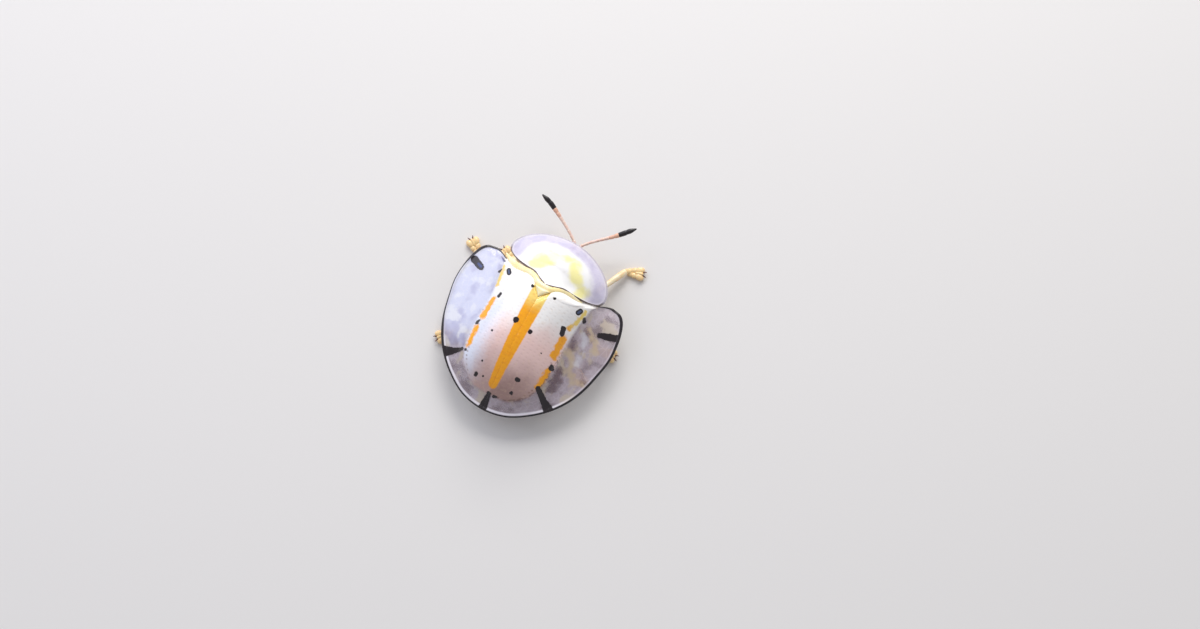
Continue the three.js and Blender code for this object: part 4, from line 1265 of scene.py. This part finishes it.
def shell_finish(name, side, settings):
    """Wing case: a pearl disc, whiter to the front by a painted highlight, with faint rows of
    pits, orange bands and black marks with painted blue reflections at the shoulders, and a
    see-through margin with a fine network, painted reflections and shade, a painted highlight
    along the rim and a dark rim line that is partly painted shade of the gap under the rim."""
    f = Finish(name, rough=settings.roughness, coat=0.5, coat_rough=0.06, ior=1.5)
    ragged = f.jitter(0.3, 3.0, 0.2)
    fine = f.jitter(0.12, 3.0, 0.08)
    across, ahead, clear = f.value("across"), f.value("ahead"), f.value("clear")
    drift = f.jitter(1.6, 2.0, 3.0)
    wander = f.plus(ahead, f.times(drift, 0.7))
    holes = f.times(pits(f, across, ahead), f.step(across, 1.04, 1.0))
    body = disc_tones(f, side, settings, across, ahead, wander, ragged, holes)
    body = band_tones(f, side, settings, body, clear, ahead, ragged)
    outer = f.step(f.plus(clear, f.times(ragged, 0.8)), -0.12, 0.16)
    net = f.step(f.cells(0.42, "DISTANCE_TO_EDGE"), 0.1, 0.02)
    # The left margin is whiter, bluer and more opaque: partly milky, partly a painted reflection
    # of the sky
    milky_sky_sheen = 0.0 if side > 0 else f.step(f.plus(ahead, drift), 2.2, 4.6)
    colour = f.blend(outer, body, margin_tones(f, side, settings, net, milky_sky_sheen))
    rim = f.value("rim")
    # Painted highlight along the rim, stronger to the rear
    tail = f.plus(0.35, f.times(f.step(ahead, 4.5, 2.0), 0.65))
    rim_highlight = f.times(f.step(rim, 0.3, 0.2), outer, tail, 0.9)
    colour = f.blend(rim_highlight, colour, RIM_HIGHLIGHT)
    # Dark rim line, partly painted shade of the gap under the rim
    line = f.value("line")
    rim_line_and_gap_shade = f.times(f.step(f.minus(rim, line), 0.03, -0.02), f.step(line, 0.0, 0.02))
    colour = f.blend(rim_line_and_gap_shade, colour, DARK_RIM_AND_GAP_SHADE)
    frayed = f.plus(fine, f.times(ragged, 0.9))
    black = f.step(f.plus(f.value("spot"), frayed), 0.035, -0.02)
    colour = f.blend(black, colour, tuple(settings.black))
    # Painted reflection: dark blue glints on marks at the shoulders
    colour = f.blend(f.step(f.value("blue"), 0.03, -0.08), colour, PAINTED_GLINT)
    ring = f.value("ring")
    colour = f.blend(f.step(ring, 0.1, 0.06), colour, tuple(settings.black))
    colour = f.blend(f.step(ring, 0.0, -0.05), colour, SLATE)
    solid = f.most(black, f.most(rim_line_and_gap_shade, rim_highlight))
    thin = f.times(outer, f.minus(1.0, solid))
    gain = f.times(milky_sky_sheen, settings.margin_alpha_left - settings.margin_alpha)
    see = f.minus(1.0 - settings.margin_alpha, gain)
    alpha = f.minus(1.0, f.times(thin, see))
    height = f.minus(f.times(f.noise(0.6, 3.0), 0.6), holes)
    height = f.plus(height, f.times(net, outer, 0.5))
    return f.set(colour=colour, alpha=alpha, normal=f.bump(height, settings.pit_depth))


def pronotum_finish(name, settings):
    """Pronotum: near white with pale yellow patches, and a lilac border that lets some light
    through, with a fine network, patches of painted shade, a painted highlight along the edge
    and a dark line along the edge, which is painted shade between the pronotum and the ridge
    where it is strongest, at the rear."""
    f = Finish(name, rough=settings.roughness, coat=0.5, coat_rough=0.06, ior=1.5)
    drift = f.jitter(0.9, 3.0, 1.1)
    patch = f.step(f.plus(f.value("patch"), drift), 0.3, -0.25)
    body = f.blend(patch, NECK_WHITE, NECK_YELLOW)
    speck = f.times(f.step(f.noise(0.3, 4.0), 0.52, 0.8), 0.25)
    body = f.blend(speck, body, NECK_SPECK)
    clear = f.value("clear")
    outer = f.step(f.plus(clear, f.times(drift, 0.3)), -0.22, 0.3)
    net = f.step(f.cells(0.36, "DISTANCE_TO_EDGE"), 0.1, 0.02)
    veil = f.blend(f.times(net, 0.3), tuple(settings.veil_front), NECK_NET)
    # Patches of painted shade over the border's veil
    shade_patch = f.times(f.step(f.noise(1.1, 2.0), 0.48, 0.66), 0.5)
    veil = f.blend(shade_patch, veil, NECK_SHADE)
    colour = f.blend(outer, body, veil)
    rim = f.value("rim")
    # Painted highlight along the edge's bead
    rim_highlight = f.times(f.step(rim, 0.24, 0.12), 0.6)
    colour = f.blend(rim_highlight, colour, NECK_RIM_HIGHLIGHT)
    # Dark line along the edge, strongest at the rear, where it is painted shade against the ridge
    back = f.step(f.value("ahead"), 1.7, 1.3)
    dark = f.times(f.step(rim, 0.09, 0.05), f.plus(0.25, f.times(back, 0.7)))
    colour = f.blend(dark, colour, NECK_EDGE_LINE_AND_SHADE)
    thin = f.times(outer, 1 - settings.margin_alpha_front)
    alpha = f.minus(1.0, thin)
    height = f.times(f.noise(0.5, 3.0), 0.8)
    height = f.plus(height, f.times(net, outer, 0.5))
    return f.set(colour=colour, alpha=alpha, normal=f.bump(height, settings.pit_depth))


def waxy_finish(name, pale, deep, rough, scatter, grain, bump=0.012):
    """Skin that lets a little light in, in two tones by noise. Gives the finish, and the
    colour and normal that go to its shader."""
    f = Finish(name, rough=rough, scatter=scatter, scatter_scale=0.4 * MM, coat=0.25)
    colour = f.blend(f.step(f.noise(grain * 2.4, 3.0), 0.35, 0.7), pale, deep)
    normal = f.bump(f.noise(grain, 4.0), bump)
    return f, colour, normal


def eye_finish(name):
    """Black and glossy, with fine facets."""
    f = Finish(name, colour=EYE_BLACK, rough=0.12, coat=0.8, coat_rough=0.04)
    return f.set(normal=f.bump(f.cells(0.035), 0.003))


# The add-on


def level(name, value, text, low=0.0, high=1.0, **more):
    """A number property."""
    return FloatProperty(name=name, default=value, min=low, max=high, description=text, **more)


def shade(name, value, text):
    """A colour property."""
    return FloatVectorProperty(
        name=name, default=value, size=4, min=0, max=1, subtype="COLOR", description=text
    )


class BeetleShell(bpy.types.PropertyGroup):
    """Wing cases and pronotum."""

    disc_wall: level("Disc wall", 0.3, "Thickness of the raised disc in mm", 0.1, 0.8)
    margin_wall: level("Margin wall", 0.14, "Thickness of the see-through margin in mm", 0.05, 0.5)
    bead: level("Rim bead", 0.05, "Height of the bead along the edge in mm", 0.0, 0.2)
    margin_alpha: level("Right margin", 0.45, "Opacity of one skin of the right margin")
    margin_alpha_left: level("Left margin", 0.72, "Opacity of one skin of the left margin")
    margin_alpha_front: level("Front margin", 0.6, "Opacity of one skin of the front margin")
    roughness: level("Roughness", 0.24, "Roughness of the shell")
    pit_depth: level("Pit depth", 0.005, "Depth of the rows of pits in mm", 0.0, 0.2)
    # Painted highlight: the near white tone of the disc's front stands for the key light's
    # highlight
    pearl_front_highlight: shade("Front pearl", linear(254, 252, 250), "Tone of the disc near its front")
    pearl: shade("Pearl", linear(243, 209, 203), "Tone of the disc past the middle")
    pearl_deep: shade("Deep pearl", linear(168, 134, 127), "Tone of the disc at its rear")
    stripe: shade("Stripe", linear(255, 172, 0), "Bands at the rear")
    stripe_front: shade("Front stripe", linear(254, 224, 124), "Bands at the front")
    black: shade("Marks", linear(25, 10, 17), "Spots and bars")
    veil: shade("Right veil", linear(200, 184, 198), "See-through margin on the right")
    # Painted reflection: the left veil is lighter and bluer, partly milky and partly the sky
    # reflected
    veil_left_sky_sheen: shade("Left veil", linear(222, 226, 250), "See-through margin on the left")
    veil_front: shade("Front veil", linear(228, 222, 248), "Margin of the pronotum")


class BeetleBody(bpy.types.PropertyGroup):
    """Body, head, feelers and legs."""

    skin: shade("Skin", linear(254, 241, 208), "Light tone of the body and legs")
    skin_deep: shade("Deep skin", linear(249, 218, 166), "Dark tone of the body and legs")
    collar: shade("Ridge", linear(253, 238, 200), "Ridge along the wing cases' base")
    feeler: shade("Feelers", linear(242, 214, 198), "Feelers as far as their black ends")
    black_from: level("Black from joint", 9.5, "Feeler joints past this are black", 1, 12)


class BeetleStage(bpy.types.PropertyGroup):
    """Floor, lights and camera."""

    key: level("Key light", 0.55, "Power of the large soft light in front", 0, 5, unit="POWER")
    side: level("Side light", 0.2, "Power of the lilac panel at the left", 0, 5, unit="POWER")
    room: level("Room light", 0.45, "Strength of the even light from all round", 0, 4)
    floor: shade("Floor", linear(228, 226, 224), "Colour of the floor")
    lens: level(
        "Lens", FOCAL_PIXELS / PHOTO_WIDTH * SENSOR_WIDTH, "Focal length in mm", 10, 200
    )
    distance: level("Distance", VIEW_DISTANCE, "Camera to the middle of the view in mm", 40, 400)


class Build(bpy.types.Operator):
    """Base of the steps: builds a piece or group from the scene's settings."""

    bl_options = {"REGISTER", "UNDO"}

    def execute(self, context):
        """Runs the step. A mistake stops the script with its own message."""
        self.build(context.scene)
        return {"FINISHED"}


class BEETLE_OT_wing_cases(Build):
    """Builds the two wing cases with their marks"""

    bl_idname = "beetle.wing_cases"
    bl_label = "Wing cases"

    def build(self, scene):
        settings = scene.beetle_shell
        for name, side in (("right", 1), ("left", -1)):
            finish = shell_finish(f"shell_{name}", side, settings)
            points, faces, values = wing_case(side, settings)
            made = Surface().add(points, faces, **values)
            made.piece(f"wing_case_{name}", finish, "pearl_shell", f"elytron_{name}")


class BEETLE_OT_pronotum(Build):
    """Builds the pronotum"""

    bl_idname = "beetle.pronotum"
    bl_label = "Pronotum"

    def build(self, scene):
        settings = scene.beetle_shell
        points, faces, values = pronotum(settings)
        finish = pronotum_finish("neck_shell", settings)
        Surface().add(points, faces, **values).piece(
            "neck_shield", finish, "cream_shield", "pronotum"
        )


class BEETLE_OT_ridge(Build):
    """Builds the ridge at the base of the wing cases and the scutellum"""

    bl_idname = "beetle.ridge"
    bl_label = "Ridge and scutellum"

    def build(self, scene):
        tone = tuple(scene.beetle_body.collar)
        f, colour, normal = waxy_finish("ridge", tone, RIDGE_DEEP, 0.3, 0.05, 0.3)
        made = Surface().add(*collar())
        made.piece("collar", f.set(colour=colour, normal=normal), "cream_shield")
        tones = (BACK_PLATE, BACK_PLATE_DEEP)
        f, colour, normal = waxy_finish("scutellum", *tones, 0.3, 0.05, 0.3)
        made = Surface().add(*scutellum())
        finish = f.set(colour=colour, normal=normal)
        made.piece("back_plate", finish, "cream_shield", "scutellum")


class BEETLE_OT_body(Build):
    """Builds the thorax and the abdomen"""

    bl_idname = "beetle.body"
    bl_label = "Body"

    def build(self, scene):
        skin, deep = tuple(scene.beetle_body.skin), tuple(scene.beetle_body.skin_deep)
        f, colour, normal = waxy_finish("skin", skin, deep, 0.4, 0.05, 0.35, 0.02)
        finish = f.set(colour=colour, normal=normal)
        made = Surface().add(*loft(belly_rings()))
        made.piece("belly", finish, "cream_body", "abdomen")
        made = Surface().add(*loft(chest_rings()))
        made.add(*keel(*CHEST_KEEL))
        made.piece("chest", finish, "cream_body", "thorax")
        made = Surface()
        points, faces = loft(throat_rings())
        made.add(turned(points), faces)
        points, faces = keel(*THROAT_KEEL)
        made.add(turned(points), faces)
        made.piece("throat", finish, "cream_body", "prothorax")


class BEETLE_OT_head(Build):
    """Builds the head with its mouthparts and the two eyes"""

    bl_idname = "beetle.head"
    bl_label = "Head"

    def build(self, scene):
        skin, deep = tuple(scene.beetle_body.skin), tuple(scene.beetle_body.skin_deep)
        f, colour, normal = waxy_finish("face", skin, deep, 0.34, 0.05, 0.2)
        colour = f.blend(f.value("horn"), colour, JAW_BROWN)
        made = head_shape()
        made.points = [head_place(points) for points in made.points]
        made.piece("skull", f.set(colour=colour, normal=normal), "cream_body", "head")
        finish = eye_finish("eye")
        for name, side in (("right", 1), ("left", -1)):
            points, faces = eye_shape(side)
            made = Surface().add(head_place(points), faces)
            made.piece(f"eyeball_{name}", finish, "black_eye", f"eye_{name}")


class BEETLE_OT_feelers(Build):
    """Builds the two feelers of eleven joints"""

    bl_idname = "beetle.feelers"
    bl_label = "Feelers"

    def build(self, scene):
        settings = scene.beetle_body
        tone = tuple(settings.feeler)
        f, colour, normal = waxy_finish("feeler", tone, FEELER_DEEP, 0.4, 0.1, 0.12)
        joint = f.value("joint")
        edge = settings.black_from
        colour = f.blend(f.step(joint, edge - 2.3, edge - 1.2), colour, FEELER_TAN)
        colour = f.blend(f.step(joint, edge - 0.1, edge + 0.1), colour, FEELER_BLACK)
        finish = f.set(colour=colour, normal=normal)
        for name, places in FEELERS.items():
            made = feeler(*places)
            made.piece(f"feeler_{name}", finish, "antenna", f"antenna_{name}")


class BEETLE_OT_legs(Build):
    """Builds the six legs with their feet and claws"""

    bl_idname = "beetle.legs"
    bl_label = "Legs"

    def build(self, scene):
        skin, deep = tuple(scene.beetle_body.skin), tuple(scene.beetle_body.skin_deep)
        f, colour, normal = waxy_finish("limb", skin, deep, 0.34, 0.08, 0.2)
        colour = f.blend(f.value("foot"), colour, FOOT)
        colour = f.blend(f.value("pad"), colour, PAD)
        colour = f.blend(f.value("horn"), colour, CLAW_BROWN)
        finish = f.set(colour=colour, normal=normal)
        for name, places in LEGS.items():
            leg(*places).piece(f"limb_{name}", finish, "cream_leg", f"leg_{name}")


def soft_panel(name, direction, size, power, tone):
    """A square light that looks at the middle of the floor from PANEL_DISTANCE away."""
    data = bpy.data.lights.new(name, "AREA")
    data.energy, data.color, data.shape, data.size = power, tone, "SQUARE", size
    lamp = bpy.data.objects.new(name, data)
    bpy.context.collection.objects.link(lamp)
    lamp.location = Vector(direction).normalized() * PANEL_DISTANCE
    lamp.rotation_euler = Vector(direction).to_track_quat("Z", "Y").to_euler()


class BEETLE_OT_stage(Build):
    """Adds the floor, the lights and the camera"""

    bl_idname = "beetle.stage"
    bl_label = "Stage"

    def build(self, scene):
        settings = scene.beetle_stage
        angle = np.linspace(0, 2 * np.pi, FLOOR_SIDES, endpoint=False)
        rim = np.stack([np.cos(angle), np.sin(angle), angle * 0], 1) * FLOOR_RADIUS
        mesh = bpy.data.meshes.new("floor")
        mesh.from_pydata(rim.tolist(), [], [list(range(FLOOR_SIDES))])
        mesh.materials.append(
            Finish("floor", colour=tuple(settings.floor), rough=0.6).material
        )
        floor = bpy.data.objects.new("floor", mesh)
        bpy.context.collection.objects.link(floor)
        soft_panel("key", *KEY_PANEL, settings.key, WARM_LIGHT)
        soft_panel("side", *SIDE_PANEL, settings.side, LILAC_LIGHT)
        world = bpy.data.worlds.new("room")
        world.use_nodes = True
        background = world.node_tree.nodes["Background"]
        background.inputs["Color"].default_value = ROOM_TONE
        background.inputs["Strength"].default_value = settings.room
        scene.world = world
        scene.view_settings.view_transform = "Standard"
        lens = bpy.data.cameras.new("camera")
        lens.sensor_width, lens.lens = SENSOR_WIDTH, settings.lens
        lens.clip_start, lens.clip_end = 0.005, 10
        camera = bpy.data.objects.new("camera", lens)
        bpy.context.collection.objects.link(camera)
        azimuth, rise = math.radians(VIEW_AZIMUTH), math.radians(VIEW_ELEVATION)
        back = Vector(
            (
                math.sin(azimuth) * math.cos(rise),
                -math.cos(azimuth) * math.cos(rise),
                math.sin(rise),
            )
        )
        camera.location = Vector(place(VIEW_TARGET)) + back * settings.distance * MM
        camera.rotation_euler = back.to_track_quat("Z", "Y").to_euler()
        scene.camera = camera


GROUPS = (BeetleShell, BeetleBody, BeetleStage)
STEPS = (
    BEETLE_OT_wing_cases, BEETLE_OT_pronotum, BEETLE_OT_ridge, BEETLE_OT_body,
    BEETLE_OT_head, BEETLE_OT_feelers, BEETLE_OT_legs, BEETLE_OT_stage,
)


class BEETLE_PT_panel(bpy.types.Panel):
    """The settings and the steps, in the 3D view's sidebar"""

    bl_idname = "BEETLE_PT_panel"
    bl_label = "Tortoise Beetle"
    bl_space_type = "VIEW_3D"
    bl_region_type = "UI"
    bl_category = "Beetle"

    def draw(self, context):
        """Lists each group's settings and then each step."""
        scene = context.scene
        for group in (scene.beetle_shell, scene.beetle_body, scene.beetle_stage):
            box = self.layout.box()
            for name in group.__annotations__:
                box.prop(group, name)
        for step in STEPS:
            self.layout.operator(step.bl_idname)


def register():
    """Adds the settings, steps and panel."""
    for item in (*GROUPS, *STEPS, BEETLE_PT_panel):
        bpy.utils.register_class(item)
    bpy.types.Scene.beetle_shell = PointerProperty(type=BeetleShell)
    bpy.types.Scene.beetle_body = PointerProperty(type=BeetleBody)
    bpy.types.Scene.beetle_stage = PointerProperty(type=BeetleStage)


def unregister():
    """Takes them away again."""
    del bpy.types.Scene.beetle_stage
    del bpy.types.Scene.beetle_body
    del bpy.types.Scene.beetle_shell
    for item in reversed((*GROUPS, *STEPS, BEETLE_PT_panel)):
        bpy.utils.unregister_class(item)


def main():
    """Builds everything in order."""
    register()
    for step in STEPS:
        group, name = step.bl_idname.split(".")
        getattr(getattr(bpy.ops, group), name)()


if __name__ == "__main__":
    main()
